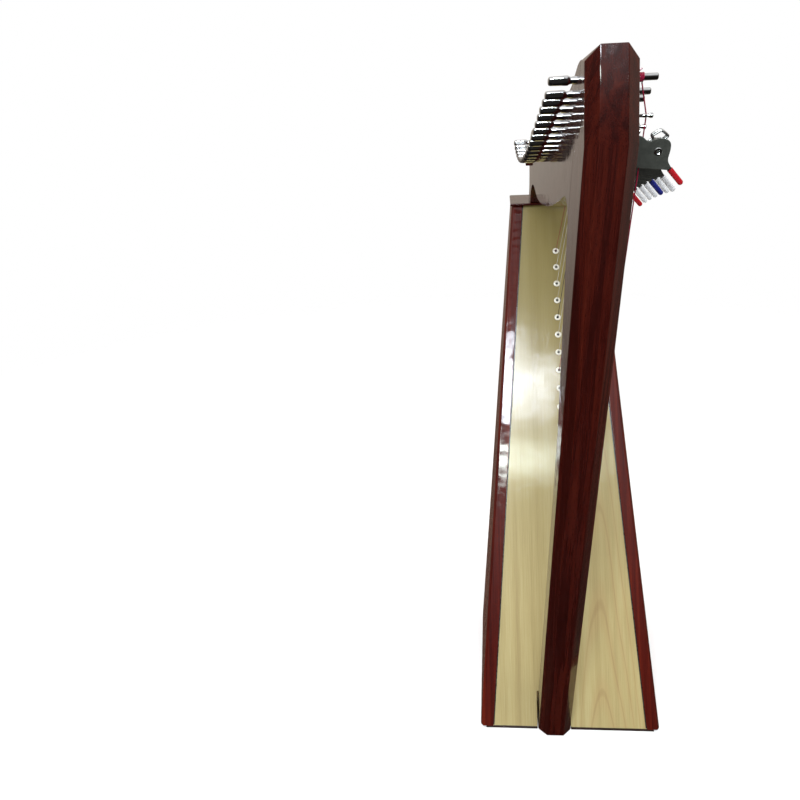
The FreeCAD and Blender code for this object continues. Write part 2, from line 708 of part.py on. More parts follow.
def neck_top_edge():
    """Points along the neck's upper edge, which follows the tuning pins."""
    points = [(sizes["joint_top_back"], sizes["joint_top_height"]),
              (sizes["tuning_y_01"], sizes["tuning_z_01"] + sizes["pin_margin"])]
    for number in (2, 4, 7, 10, 13, 16, 19, 22):
        y = sizes["tuning_y_%02d" % number]
        points.append((y, sizes["tuning_z_%02d" % number] + sizes["pin_margin"]))
    return points


def make_neck():
    """The curved neck, with holes for the tuning pins, the bridge pins and the lever screws."""
    body = new_body("neck")
    side = sketch_on(body, "neck_side", "YZ_Plane", "dims.pillar_right")
    top = neck_top_edge()
    joint = Part.LineSegment(Vector(*top[0], 0), Vector(*NECK_INNER_CORNER[0], 0))
    heel = Part.LineSegment(Vector(*NECK_BELLY[-1], 0), Vector(*NECK_SCROLL[-1], 0))
    outline = (joint, spline_through(NECK_INNER_CORNER), spline_through(NECK_BELLY), heel,
               spline_through(top + list(NECK_SCROLL)))
    for curve in outline:
        index = side.addGeometry(curve, False)
        side.addConstraint(Sketcher.Constraint("Block", index))
    pad(body, side, "dims.pillar_width", "backward")
    wedge = sketch_on(body, "neck_taper_cut", "XY_Plane")
    left = "(dims.pillar_right - dims.pillar_width)"
    add_polygon(wedge, (
        (left, "dims.joint_low_back"),
        (left + " + dims.neck_taper", "dims.joint_low_back + dims.neck_length"),
        (left + " - %d" % PAST_EDGE, "dims.joint_low_back + dims.neck_length"),
        (left + " - %d" % PAST_EDGE, "dims.joint_low_back")))
    pocket(body, wedge, None, "symmetric")
    pins = sketch_on(body, "tuning_pin_holes", "YZ_Plane")
    seats = sketch_on(body, "bridge_pin_holes", "YZ_Plane", "dims.pillar_right")
    for number in range(1, STRING_COUNT + 1):
        tag = "_%02d" % number
        add_circle(pins, cell("tuning_y" + tag), cell("tuning_z" + tag),
                   "dims.pin_radius + dims.pin_clearance")
        add_circle(seats, cell("bridge_y" + tag), cell("bridge_z" + tag), "dims.bridge_pin_radius")
    pocket(body, pins, None, "symmetric")
    pocket(body, seats, "dims.bridge_pin_depth")
    screws = sketch_on(body, "lever_screw_holes", "YZ_Plane", "dims.pillar_right")
    for number in range(1, STRING_COUNT + 1):
        for _, y, z in screw_places(number):
            add_circle(screws, "%.4f" % y, "%.4f" % z, "dims.screw_radius")
    pocket(body, screws, "dims.screw_depth")
    return body


# ---------------------------------------------------------------- levers

def screw_places(number):
    """Where the two screws of one lever bracket enter the neck."""
    scale = sizes["scale_" + lever_size(number)]
    tilt = Rotation(X_AXIS, sizes["string_lean"])
    pivot = Vector(0, sizes["pivot_y_%02d" % number], sizes["pivot_z_%02d" % number])
    places = []
    for side in (-1, 1):
        offset = Vector(0, sizes["screw_side"] * scale, side * sizes["screw_spread"] * scale)
        places.append(tuple(pivot + tilt.multVec(offset)))
    return places


def scaled(alias, size):
    return "dims.%s * dims.scale_%s" % (alias, size)


def times(number, size):
    return "%s * dims.scale_%s" % (number, size)


# Outlines in (X, Z) about the pivot, for a large lever: the arm, and the plate's free edge.
LEVER_ARM = ((-3.5, -4.5), (5.5, -3.0), (16.2, -16.4), (11.6, -19.6))
PLATE_EDGE = ((-22.0, 15.0), (-15.0, 11.5), (-8.0, 6.0), (8.6, -6.0), (10.0, -11.0), (12.0, -15.5))
SLEEVE_ROUNDING = 0.8


def make_lever_master(size):
    """A lever at rest about its pivot: hub, forked bar upwards, arm and sleeve downwards."""
    body = new_body("lever_master_" + size)
    hub = sketch_on(body, "hub_" + size, "XZ_Plane")
    add_circle(hub, "0", "0", scaled("hub_radius", size))
    pad(body, hub, scaled("lever_thickness", size), "symmetric")
    arm = sketch_on(body, "arm_" + size, "XZ_Plane")
    add_polygon(arm, [(times(x, size), times(z, size)) for x, z in LEVER_ARM])
    pad(body, arm, scaled("lever_thickness", size), "symmetric")
    bar = sketch_on(body, "fork_" + size, "XZ_Plane")
    half = scaled("fork_bar / 2", size)
    add_polygon(bar, rectangle("-" + half, scaled("fork_root", size), half, scaled("fork_reach", size)))
    pad(body, bar, scaled("fork_width", size), "symmetric")
    slot = sketch_on(body, "fork_slot_" + size, "YZ_Plane")
    gap = scaled("fork_gap / 2", size)
    add_polygon(slot, rectangle("-" + gap, scaled("fork_slot_start", size),
                                gap, scaled("fork_reach", size) + " + %d" % PAST_EDGE))
    pocket(body, slot, None, "symmetric")
    sleeve = sketch_on(body, "sleeve_" + size, "XZ_Plane")
    sleeve.AttachmentOffset = Placement(Vector(), Rotation(Vector(0, 0, 1), -sizes["sleeve_angle"]))
    sleeve.setExpression("AttachmentOffset.Base.x", scaled("sleeve_x", size))
    sleeve.setExpression("AttachmentOffset.Base.y", scaled("sleeve_z", size))
    radius = scaled("sleeve_radius", size)
    length = scaled("sleeve_length", size)
    rounding = "%s * %s" % (radius, SLEEVE_ROUNDING)
    add_polygon(sleeve, (("0", "0"), ("0", radius), (length + " - " + rounding, radius),
                         (length, radius + " / 2"), (length, "0")))
    revolve(body, sleeve, "H_Axis")
    bore = sketch_on(body, "axle_bore_" + size, "XZ_Plane")
    add_circle(bore, "0", "0", scaled("axle_radius", size) + " + dims.axle_clearance")
    pocket(body, bore, None, "symmetric")
    return body


def make_bracket_master(size):
    """A lever's fixed bracket: plate with a round lobe, foot on the neck, and riveted axle."""
    body = new_body("bracket_master_" + size)
    reach = "(dims.pivot_x_%s - dims.pillar_right)" % size
    inner = scaled("cheek_outer", size) + " - " + scaled("cheek_thickness", size)
    plate = sketch_on(body, "plate_" + size, "XZ_Plane", inner)
    outline = [("-" + reach, scaled("plate_top", size))]
    outline += [(times(x, size), times(z, size)) for x, z in PLATE_EDGE]
    outline.append(("-" + reach, scaled("plate_bottom", size)))
    add_polygon(plate, outline)
    pad(body, plate, scaled("cheek_thickness", size))
    lobe = sketch_on(body, "lobe_" + size, "XZ_Plane", inner)
    add_circle(lobe, "0", "0", scaled("lobe_radius", size))
    pad(body, lobe, scaled("cheek_thickness", size))
    foot = sketch_on(body, "foot_" + size, "XZ_Plane")
    add_polygon(foot, rectangle("-" + reach, scaled("flange_bottom", size),
                                "-%s + dims.flange_thickness" % reach, scaled("flange_top", size)))
    pad(body, foot, scaled("cheek_outer * 2", size), "symmetric")
    profile = sketch_on(body, "axle_" + size, "XY_Plane")
    rivet = scaled("rivet_radius", size)
    outside = "-" + scaled("cheek_outer", size)
    head = outside + " - " + scaled("rivet_height", size)
    inner_face = scaled("lever_thickness / 2", size) + " + dims.rivet_gap"
    inner_head = inner_face + " + dims.rivet_inner_height"
    add_polygon(profile, (
        ("0", head), (rivet, head), (rivet, outside), (scaled("axle_radius", size), outside),
        (scaled("axle_radius", size), inner_face), (rivet, inner_face), (rivet, inner_head),
        ("0", inner_head)))
    revolve(body, profile, "V_Axis")
    holes = sketch_on(body, "foot_holes_" + size, "YZ_Plane")
    for sign in ("-", ""):
        add_circle(holes, scaled("screw_side", size), sign + scaled("screw_spread", size),
                   "dims.screw_radius")
    pocket(body, holes, reach + " + dims.flange_thickness", "forward")
    return body


def make_levers():
    """The 22 levers, their brackets as one group and their screws as another."""
    tilt = Rotation(X_AXIS, sizes["string_lean"])
    nodes = []
    brackets = []
    screw_points = []
    lever_masters = {}
    bracket_masters = {}
    for size, first, last in LEVER_SIZES:
        lever_masters[size] = make_lever_master(size)
        bracket_masters[size] = make_bracket_master(size)
    for number in range(1, STRING_COUNT + 1):
        size = lever_size(number)
        tag = "_%02d" % number
        base = ("pivot_x_" + size, "pivot_y" + tag, "pivot_z" + tag)
        nodes.append(clone("lever" + tag, lever_masters[size], base, sizes["string_lean"]))
        link = doc.addObject("App::Link", "bracket" + tag)
        link.LinkedObject = bracket_masters[size]
        link.Placement = Placement(Vector(*[sizes[item] for item in base]), tilt)
        brackets.append(link)
        for _, y, z in screw_places(number):
            x = sizes["pillar_right"] + sizes["flange_thickness"]
            screw_points.append(Placement(Vector(x, y, z), Rotation()))
    group = doc.addObject("Part::Compound", "lever_brackets")
    group.Label = "lever_brackets"
    group.Links = brackets
    nodes.append(group)
    nodes.append(copies("lever_screws", make_screw_master(), screw_points))
    return nodes


def make_screw_master():
    """A round-headed wood screw along X, its head's underside at the origin."""
    body = new_body("screw_master")
    profile = sketch_on(body, "screw_profile", "XY_Plane")
    end = "-(dims.flange_thickness + dims.screw_depth)"
    add_polygon(profile, (
        (end, "0"), (end, "dims.screw_radius"), ("0", "dims.screw_radius"),
        ("0", "dims.screw_head_radius"), ("dims.screw_head_height / 2", "dims.screw_head_radius"),
        ("dims.screw_head_height", "dims.screw_head_radius / 2"), ("dims.screw_head_height", "0")))
    revolve(body, profile, "H_Axis")
    return body


# ---------------------------------------------------------------- pins, eyelets and strings

def make_tuning_pin_master():
    """A tuning pin along X: squared drive end, waist, shank, string end with the string's coil."""
    body = new_body("tuning_pin_master")
    profile = sketch_on(body, "pin_profile", "XY_Plane")
    left = "dims.pin_left"
    waist = left + " + dims.drive_length"
    shank = "dims.pillar_right + dims.shank_past_neck"
    coil_low = "dims.coil_x - dims.coil_width / 2"
    coil_high = "dims.coil_x + dims.coil_width / 2"
    add_polygon(profile, (
        (left, "0"), (left, "dims.drive_radius - dims.drive_bevel"),
        (left + " + dims.drive_bevel", "dims.drive_radius"),
        (waist, "dims.drive_radius"), (waist + " + dims.waist_slope", "dims.pin_waist_radius"),
        (waist + " + dims.waist_length - dims.waist_slope", "dims.pin_waist_radius"),
        (waist + " + dims.waist_length", "dims.pin_radius"),
        (shank, "dims.pin_radius"), (shank + " + dims.pin_step", "dims.pin_end_radius"),
        (coil_low, "dims.pin_end_radius"), (coil_low, "dims.coil_radius"),
        (coil_high, "dims.coil_radius"), (coil_high, "dims.pin_end_radius"),
        ("dims.pin_right - dims.pin_step", "dims.pin_end_radius"),
        ("dims.pin_right", "dims.pin_end_radius - dims.pin_step"),
        ("dims.pin_right", "0")))
    revolve(body, profile, "H_Axis")
    flats = sketch_on(body, "drive_flats", "YZ_Plane", left)
    half = "dims.drive_flat / 2"
    add_circle(flats, "0", "0", "dims.drive_radius * 2")
    add_polygon(flats, rectangle("-" + half, "-" + half, half, half))
    pocket(body, flats, "dims.drive_length", "backward")
    return body


def make_tuning_pins():
    master = make_tuning_pin_master()
    nodes = []
    for number in range(1, STRING_COUNT + 1):
        tag = "_%02d" % number
        nodes.append(clone("tuning_pin" + tag, master, ("none", "tuning_y" + tag, "tuning_z" + tag), 0))
    return nodes


def make_bridge_pins():
    """The fixed pins that end the strings' sounding length, each headed at its outer end."""
    body = new_body("bridge_pin_master")
    profile = sketch_on(body, "bridge_pin_profile", "XY_Plane")
    start = "dims.pillar_right - dims.bridge_pin_depth"
    head = "dims.bridge_pin_end - dims.bridge_head_length"
    add_polygon(profile, (
        (start, "0"), (start, "dims.bridge_pin_radius"), (head, "dims.bridge_pin_radius"),
        (head, "dims.bridge_head_radius"),
        ("dims.bridge_pin_end - dims.bridge_head_bevel", "dims.bridge_head_radius"),
        ("dims.bridge_pin_end", "dims.bridge_head_radius - dims.bridge_head_bevel"),
        ("dims.bridge_pin_end", "0")))
    revolve(body, profile, "H_Axis")
    places = []
    for number in range(1, STRING_COUNT + 1):
        tag = "_%02d" % number
        places.append(Placement(Vector(0, sizes["bridge_y" + tag], sizes["bridge_z" + tag]), Rotation()))
    return copies("bridge_pins", body, places)


def make_eyelets():
    """Flanged bushes in the soundboard, one per string."""
    body = new_body("eyelet_master")
    profile = sketch_on(body, "eyelet_profile", "XY_Plane")
    add_polygon(profile, (
        ("dims.eyelet_bore", "-dims.eyelet_flange"),
        ("dims.eyelet_radius - dims.eyelet_bevel", "-dims.eyelet_flange"),
        ("dims.eyelet_radius", "-dims.eyelet_flange / 2"), ("dims.eyelet_radius", "0"),
        ("dims.eyelet_barrel", "0"), ("dims.eyelet_barrel", "dims.eyelet_length"),
        ("dims.eyelet_bore", "dims.eyelet_length")))
    revolve(body, profile, "V_Axis")
    places = []
    for number in range(1, STRING_COUNT + 1):
        y, z = front_point(sizes["foot_run_%02d" % number], sizes["board_recess"])
        places.append(Placement(Vector(0, y, z), Rotation(X_AXIS, -sizes["board_lean"])))
    return copies("string_eyelets", body, places)


def rod_between(name, start, end, radius):
    rod = doc.addObject("Part::Cylinder", name)
    rod.setExpression("Radius", radius)
    rod.Height = (end - start).Length
    rod.Placement = Placement(start, Rotation(Vector(0, 0, 1), end - start))
    return rod


def ball_at(name, centre, radius):
    ball = doc.addObject("Part::Sphere", name)
    ball.setExpression("Radius", radius)
    ball.Placement = Placement(centre, Rotation())
    return ball


def make_string(number):
    """One string: knot behind the board, up through the eyelet, past its bridge pin to its pin."""
    tag = "_%02d" % number
    radius = cell("radius" + tag)
    run = sizes["foot_run" + tag]
    knot_depth = (sizes["board_recess"] + sizes["eyelet_length"] + sizes["knot_radius"]
                  + sizes["knot_gap"])
    knot = Vector(0, *front_point(run, knot_depth))
    mouth = Vector(0, sizes["mouth_y" + tag], sizes["mouth_z" + tag])
    seat = Vector(sizes["bridge_x"], sizes["seat_y" + tag], sizes["seat_z" + tag])
    slope = math.tan(math.radians(sizes["string_lean"]))
    rise = sizes["tuning_z" + tag] - sizes["string_end_drop"] - seat.z
    top = Vector(sizes["coil_x"], seat.y - rise * slope, seat.z + rise)
    pieces = [ball_at("knot" + tag, knot, "dims.knot_radius"),
              rod_between("string_tail" + tag, knot, mouth, radius),
              ball_at("mouth_bend" + tag, mouth, "%s * %s" % (radius, BEND_SWELL)),
              rod_between("string_length" + tag, mouth, seat, radius),
              ball_at("bridge_bend" + tag, seat, "%s * %s" % (radius, BEND_SWELL)),
              rod_between("string_head" + tag, seat, top, radius)]
    whole = doc.addObject("Part::MultiFuse", "string" + tag)
    whole.Shapes = pieces
    return whole


def make_strings():
    group = doc.addObject("Part::Compound", "strings")
    group.Label = "strings"
    group.Links = [make_string(number) for number in range(1, STRING_COUNT + 1)]
    return group


# ---------------------------------------------------------------- the whole harp

nodes = [make_soundboard(), make_rim("left_rim", "-"), make_rim("right_rim", ""),
         make_side_panel("left_side_panel", "-"), make_side_panel("right_side_panel", ""),
         make_back_panel(), make_base_board(), make_top_cap(), make_inner_braces(),
         make_pillar(), make_neck(), make_bridge_pins(), make_eyelets(), make_strings()]
nodes += make_levers()
nodes += make_tuning_pins()
doc.recompute()

for obj in doc.Objects:
    if "Invalid" in obj.State or "Error" in obj.State:
        raise RuntimeError("%s failed: %s" % (obj.Name, obj.State))
for node in nodes:
    if node.Shape.isNull() or not node.Shape.isValid() or not node.Shape.Solids:
        raise RuntimeError("%s has no valid solid" % node.Label)

os.makedirs("parts", exist_ok=True)
for node in nodes:
    node.Shape.exportStep("parts/%s.step" % node.Label)
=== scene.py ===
import json
import math

import bmesh
import bpy
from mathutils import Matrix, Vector


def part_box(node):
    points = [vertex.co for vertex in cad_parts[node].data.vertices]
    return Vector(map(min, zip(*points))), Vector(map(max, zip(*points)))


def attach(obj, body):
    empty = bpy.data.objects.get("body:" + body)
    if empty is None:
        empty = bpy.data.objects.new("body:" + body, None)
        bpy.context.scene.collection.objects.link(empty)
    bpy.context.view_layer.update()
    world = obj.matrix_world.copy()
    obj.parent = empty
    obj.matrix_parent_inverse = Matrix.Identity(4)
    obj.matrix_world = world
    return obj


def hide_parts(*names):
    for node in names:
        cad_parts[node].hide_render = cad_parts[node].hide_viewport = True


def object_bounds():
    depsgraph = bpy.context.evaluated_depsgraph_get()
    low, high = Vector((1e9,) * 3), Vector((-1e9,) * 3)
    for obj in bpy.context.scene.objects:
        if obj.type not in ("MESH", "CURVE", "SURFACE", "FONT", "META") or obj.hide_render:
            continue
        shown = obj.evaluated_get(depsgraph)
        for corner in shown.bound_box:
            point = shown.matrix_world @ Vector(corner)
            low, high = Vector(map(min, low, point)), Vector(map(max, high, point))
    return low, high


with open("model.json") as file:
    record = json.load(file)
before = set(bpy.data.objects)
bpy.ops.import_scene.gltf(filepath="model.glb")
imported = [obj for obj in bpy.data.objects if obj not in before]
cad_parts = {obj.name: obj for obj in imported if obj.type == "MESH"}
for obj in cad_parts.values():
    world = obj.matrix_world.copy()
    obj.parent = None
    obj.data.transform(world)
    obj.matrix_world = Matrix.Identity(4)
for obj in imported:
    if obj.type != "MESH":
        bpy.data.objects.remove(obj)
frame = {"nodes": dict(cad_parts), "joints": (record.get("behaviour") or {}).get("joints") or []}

# A small lever harp: lacquered mahogany frame, pale maple soundboard, chrome tuning pins
# and one sharping lever per string. Metres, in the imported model's frame: +Z up, -Y is the
# pillar's side and +X the side of the strings and levers.

CAD_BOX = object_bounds()
FRAME_BODY = "harp_frame"
MM = 0.001
WELD_GAP = 0.001 * MM
SKIN = 0.05 * MM
OCTAVE = 7
X_AXIS = Vector((1, 0, 0))
Y_AXIS = Vector((0, 1, 0))
Z_AXIS = Vector((0, 0, 1))
JOINTS = {joint["name"]: joint for joint in frame["joints"]}
STRING_COUNT = sum(name.startswith("tuning_pin") for name in frame["nodes"])
NUMBERS = range(1, STRING_COUNT + 1)
C_STRINGS = NUMBERS[0::OCTAVE]
F_STRINGS = NUMBERS[3::OCTAVE]


# ---------------------------------------------------------------- reading the frame

def box_of(points):
    """Lowest and highest corner of some points."""
    low = Vector([min(point[i] for point in points) for i in range(3)])
    high = Vector([max(point[i] for point in points) for i in range(3)])
    return low, high


def middle_of(points):
    low, high = box_of(points)
    return (low + high) / 2


def islands(node):
    """The separate solids of a grouped CAD node, each as its points, from bass to treble."""
    mesh = bmesh.new()
    mesh.from_mesh(frame["nodes"][node].data)
    bmesh.ops.remove_doubles(mesh, verts=mesh.verts, dist=WELD_GAP)
    left = set(mesh.verts)
    found = []
    while left:
        stack = [left.pop()]
        group = []
        while stack:
            vertex = stack.pop()
            group.append(vertex.co.copy())
            for edge in vertex.link_edges:
                other = edge.other_vert(vertex)
                if other in left:
                    left.remove(other)
                    stack.append(other)
        found.append(group)
    mesh.free()
    return sorted(found, key=lambda group: middle_of(group).y)


def outermost(points, direction, depth):
    """The middle of those points that are furthest along a direction."""
    reach = max(point.dot(direction) for point in points)
    return middle_of([point for point in points if point.dot(direction) > reach - depth])


EYELETS = islands("string_eyelets")
BRIDGE_PINS = islands("bridge_pins")
STRINGS = islands("strings")
UP_BOARD = (middle_of(EYELETS[-1]) - middle_of(EYELETS[0])).normalized()
OUT_OF_BOARD = X_AXIS.cross(UP_BOARD)
EYELET_MOUTHS = [outermost(points, OUT_OF_BOARD, SKIN) for points in EYELETS]
NECK_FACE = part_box("pillar")[1].x


# ---------------------------------------------------------------- material recipes

class Recipe:
    """A material's node tree, with short calls that add nodes and join them."""

    def __init__(self, name):
        self.material = bpy.data.materials.new(name)
        self.material.use_nodes = True
        self.tree = self.material.node_tree
        self.surface = self.tree.nodes["Principled BSDF"]

    def put(self, socket, value):
        """Joins a socket to another, or gives it a plain value."""
        if isinstance(value, bpy.types.NodeSocket):
            self.tree.links.new(value, socket)
        else:
            socket.default_value = value

    def add(self, kind, inputs=None, **settings):
        """A new node: inputs by socket name or number, settings by attribute."""
        made = self.tree.nodes.new("ShaderNode" + kind)
        for key, value in settings.items():
            setattr(made, key, value)
        for key, value in (inputs or {}).items():
            self.put(made.inputs[key], value)
        return made

    def set(self, **inputs):
        """Sets the surface's inputs; an underscore in a name stands for a space."""
        for key, value in inputs.items():
            self.put(self.surface.inputs[key.replace("_", " ")], value)

    def math(self, operation, first, second=0.0):
        return self.add("Math", {0: first, 1: second}, operation=operation).outputs[0]

    def ramp(self, factor, stops):
        """Colour ramp from (position, (red, green, blue)) stops."""
        made = self.add("ValToRGB", {0: factor})
        points = made.color_ramp.elements
        while len(points) < len(stops):
            points.new(0.5)
        for point, (position, colour) in zip(points, stops):
            point.position = position
            point.color = (*colour, 1)
        return made.outputs[0]

    def blend(self, first, second, share):
        """A share of one value and the rest of another."""
        part = self.math("MULTIPLY", first, share)
        rest = self.math("MULTIPLY", second, 1 - share)
        return self.math("ADD", part, rest)

    def level(self, value, low, high, to_low=0.0, to_high=1.0):
        """Takes low..high to to_low..to_high, and no further."""
        inputs = {"Value": value, "From Min": low, "From Max": high,
                  "To Min": to_low, "To Max": to_high}
        return self.add("MapRange", inputs).outputs[0]

    def mix(self, factor, first, second):
        """Two colours mixed; 6 and 7 are the node's colour sockets and 2 its colour result."""
        made = self.add("Mix", {0: factor}, data_type="RGBA")
        for index, value in ((6, first), (7, second)):
            if isinstance(value, tuple):
                value = (*value, 1)
            self.put(made.inputs[index], value)
        return made.outputs[2]

    def place(self, along, across_size, along_size):
        """Object coordinates with Z turned along the grain, in units of a feature's size."""
        turn = Z_AXIS.rotation_difference(Vector(along)).to_euler()
        where = self.add("TexCoord").outputs["Object"]
        inputs = {"Vector": where, "Rotation": turn,
                  "Scale": (across_size, across_size, along_size)}
        return self.add("Mapping", inputs, vector_type="TEXTURE").outputs[0]

    def noise(self, along, across_size, along_size, detail=3.0, distortion=0.0):
        inputs = {"Vector": self.place(along, across_size, along_size), "Scale": 1.0,
                  "Detail": detail, "Distortion": distortion}
        return self.add("TexNoise", inputs).outputs[0]

    def grain(self, size, detail=3.0):
        """Noise that is the same in all directions."""
        return self.noise(Z_AXIS, size, size, detail)

    def bump(self, depth, distance, normal=None):
        """A normal bent by a height of up to a distance, over another normal if one is given."""
        inputs = {"Height": depth, "Distance": distance}
        if normal is not None:
            inputs["Normal"] = normal
        return self.add("Bump", inputs).outputs[0]

    def edges(self, radius):
        """1 on outer edges, 0 on flat faces."""
        flat = 0.995
        bent = 0.9
        rounded = self.add("Bevel", {"Radius": radius}, samples=4).outputs[0]
        normal = self.add("NewGeometry").outputs["Normal"]
        same = self.add("VectorMath", {0: rounded, 1: normal}, operation="DOT_PRODUCT")
        return self.level(same.outputs["Value"], flat, bent)


def wood(name, along, colours, pores, worn, gloss):
    """Lacquered wood: broad streaks, fine fibres, dark pores and slightly worn edges."""
    recipe = Recipe(name)
    streaks = recipe.noise(along, 7 * MM, 500 * MM, detail=4.0, distortion=0.6)
    fibres = recipe.noise(along, 0.9 * MM, 60 * MM, detail=4.0)
    dashes = recipe.noise(along, 0.35 * MM, 7 * MM, detail=2.0)
    scuffs = recipe.level(recipe.grain(9 * MM), 0.45, 0.65)
    tone = recipe.blend(streaks, fibres, 0.7)
    dark, middle, light = colours
    colour = recipe.ramp(tone, ((0.3, dark), (0.5, middle), (0.74, light)))
    colour = recipe.mix(recipe.level(dashes, 0.6, 0.68, to_high=0.55), colour, pores)
    rubbed = recipe.math("MULTIPLY", recipe.edges(1.2 * MM), scuffs)
    colour = recipe.mix(recipe.math("MULTIPLY", rubbed, 0.35), colour, worn)
    relief = recipe.bump(recipe.math("ADD", fibres, dashes), 0.05 * MM)
    ripples = recipe.bump(recipe.grain(22 * MM, 1.0), 0.25 * MM)
    recipe.set(Base_Color=colour, Normal=relief, Coat_Normal=ripples,
               Roughness=recipe.level(fibres, 0.3, 0.7, 0.35, 0.5), Coat_Weight=gloss,
               Coat_Roughness=recipe.level(scuffs, 0.0, 1.0, 0.05, 0.11),
               Specular_IOR_Level=0.06)
    return recipe.material


def mahogany(name, along, painted_light_level):
    """Red lacquered mahogany, its colour scaled by a painted light level: the lower the level, the more
    painted shade darkens it.
    """
    colours = ((0.026, 0.0012, 0.0006), (0.06, 0.0038, 0.0013), (0.125, 0.013, 0.004))
    painted_light_colours = [tuple(part * painted_light_level for part in colour) for colour in colours]
    pores = tuple(part * 0.4 for part in painted_light_colours[0])
    worn = (0.16, 0.03, 0.012)
    return wood(name, along, painted_light_colours, pores, worn, gloss=1.0)


def back_wood(name, along):
    colours = ((0.06, 0.011, 0.006), (0.11, 0.022, 0.01), (0.19, 0.05, 0.022))
    return wood(name, along, colours, (0.02, 0.004, 0.002), (0.3, 0.12, 0.06), gloss=0.5)


def dark_wood():
    colours = ((0.012, 0.008, 0.007), (0.022, 0.014, 0.011), (0.045, 0.028, 0.02))
    return wood("dark_wood", X_AXIS, colours, (0.005, 0.004, 0.003), (0.16, 0.1, 0.06), gloss=0.3)


def spruce():
    colours = ((0.46, 0.29, 0.13), (0.58, 0.39, 0.19), (0.68, 0.49, 0.27))
    return wood("spruce", X_AXIS, colours, (0.34, 0.2, 0.09), (0.7, 0.55, 0.35), gloss=0.0)


def growth_rings(recipe):
    """Arches up the board, as a wave from -1 to 1, and how clearly they show from left to right."""
    width = 40 * MM
    length = 170 * MM
    middle = 1.25
    curve = 1.6
    spacing = 9.0
    parts = recipe.add("SeparateXYZ", {0: recipe.place(UP_BOARD, width, length)}).outputs
    aside = recipe.math("SUBTRACT", parts[0], middle)
    rise = recipe.math("MULTIPLY", aside, recipe.math("MULTIPLY", aside, curve))
    arch = recipe.math("ADD", rise, parts[2])
    wander = recipe.noise(UP_BOARD, 45 * MM, 420 * MM, detail=1.0)
    rings = recipe.math("MULTIPLY", recipe.math("ADD", arch, wander), spacing)
    return recipe.math("SINE", rings), recipe.level(parts[0], -0.2, 0.9, 0.12, 1.0)


def maple():
    """Flat-sawn maple: straight fibres, soft arched growth rings on one side, clear lacquer, and painted
    shade darkening the board towards its top.
    """
    band_colour = (0.33, 0.225, 0.09)
    line_colour = (0.2, 0.125, 0.045)
    fleck_colour = (0.23, 0.15, 0.055)
    painted_shade_colour = (0.165, 0.13, 0.03)
    recipe = Recipe("maple")
    fibres = recipe.noise(UP_BOARD, 0.7 * MM, 60 * MM, detail=4.0)
    streaks = recipe.noise(UP_BOARD, 9 * MM, 600 * MM, distortion=0.2)
    flecks = recipe.noise(UP_BOARD, 0.5 * MM, 2.5 * MM, detail=1.0)
    tone = recipe.blend(fibres, streaks, 0.5)
    colour = recipe.ramp(tone, ((0.34, (0.27, 0.205, 0.082)), (0.5, (0.335, 0.27, 0.112)),
                                (0.64, (0.385, 0.325, 0.15))))
    wave, clear = growth_rings(recipe)
    bands = recipe.math("MULTIPLY", recipe.level(wave, -0.4, 1.0, to_high=0.42), clear)
    lines = recipe.math("MULTIPLY", recipe.level(wave, 0.9, 1.0, to_high=0.3), clear)
    # Painted shade: the board's colour darkens to an olive tone towards its top, under the neck.
    height = recipe.add("SeparateXYZ", {0: recipe.add("TexCoord").outputs["Object"]}).outputs[2]
    upper = recipe.math("MULTIPLY", recipe.level(height, 0.15, 0.56), 0.8)
    colour = recipe.mix(bands, colour, band_colour)
    colour = recipe.mix(lines, colour, line_colour)
    colour = recipe.mix(recipe.level(flecks, 0.66, 0.74, to_high=0.25), colour, fleck_colour)
    colour = recipe.mix(upper, colour, painted_shade_colour)
    relief = recipe.bump(recipe.math("ADD", fibres, flecks), 0.04 * MM)
    ripples = recipe.bump(recipe.grain(30 * MM, 1.0), 0.2 * MM)
    recipe.set(Base_Color=colour, Normal=relief, Roughness=0.5, Specular_IOR_Level=0.35,
               Coat_Weight=1.0, Coat_Normal=recipe.bump(fibres, 0.11 * MM, ripples),
               Coat_Roughness=recipe.level(streaks, 0.3, 0.7, 0.08, 0.12))
    return recipe.material


def metal(name, colour, roughness, scratch):
    """Bare or plated metal with smudges and hairline scratches."""
    recipe = Recipe(name)
    smudge = recipe.grain(4 * MM)
    hairs = recipe.noise(X_AXIS, 0.12 * MM, 6 * MM, detail=2.0)
    dull = tuple(part * 0.82 for part in colour)
    recipe.set(Base_Color=recipe.mix(recipe.level(smudge, 0.35, 0.7), colour, dull), Metallic=1.0,
               Roughness=recipe.level(smudge, 0.3, 0.7, roughness, roughness * 2.2),
               Normal=recipe.bump(hairs, scratch))
    return recipe.material


def coated_metal():
    """Dark satin coating, a little grainy, rubbed through to grey metal on the edges."""
    recipe = Recipe("lever_metal")
    mottle = recipe.grain(6 * MM)
    grit = recipe.grain(0.25 * MM, 2.0)
    colour = recipe.ramp(mottle, ((0.3, (0.042, 0.045, 0.038)), (0.7, (0.06, 0.064, 0.055))))
    rubbed = recipe.math("MULTIPLY", recipe.edges(0.35 * MM), recipe.level(mottle, 0.4, 0.6))
    colour = recipe.mix(recipe.math("MULTIPLY", rubbed, 0.6), colour, (0.2, 0.2, 0.19))
    recipe.set(Base_Color=colour, Metallic=0.35, Normal=recipe.bump(grit, 0.02 * MM),
               Roughness=recipe.level(grit, 0.3, 0.7, 0.42, 0.58))
    return recipe.material


def plastic(name, colour, shade):
    """Moulded plastic with a faint flow pattern and a fine texture."""
    recipe = Recipe(name)
    flow = recipe.grain(3 * MM, 2.0)
    fine = recipe.grain(0.2 * MM, 1.0)
    recipe.set(Base_Color=recipe.mix(recipe.level(flow, 0.35, 0.65), colour, shade),
               Roughness=recipe.level(flow, 0.3, 0.7, 0.24, 0.36), Coat_Weight=0.25,
               Coat_Roughness=0.2, Normal=recipe.bump(fine, 0.006 * MM))
    return recipe.material


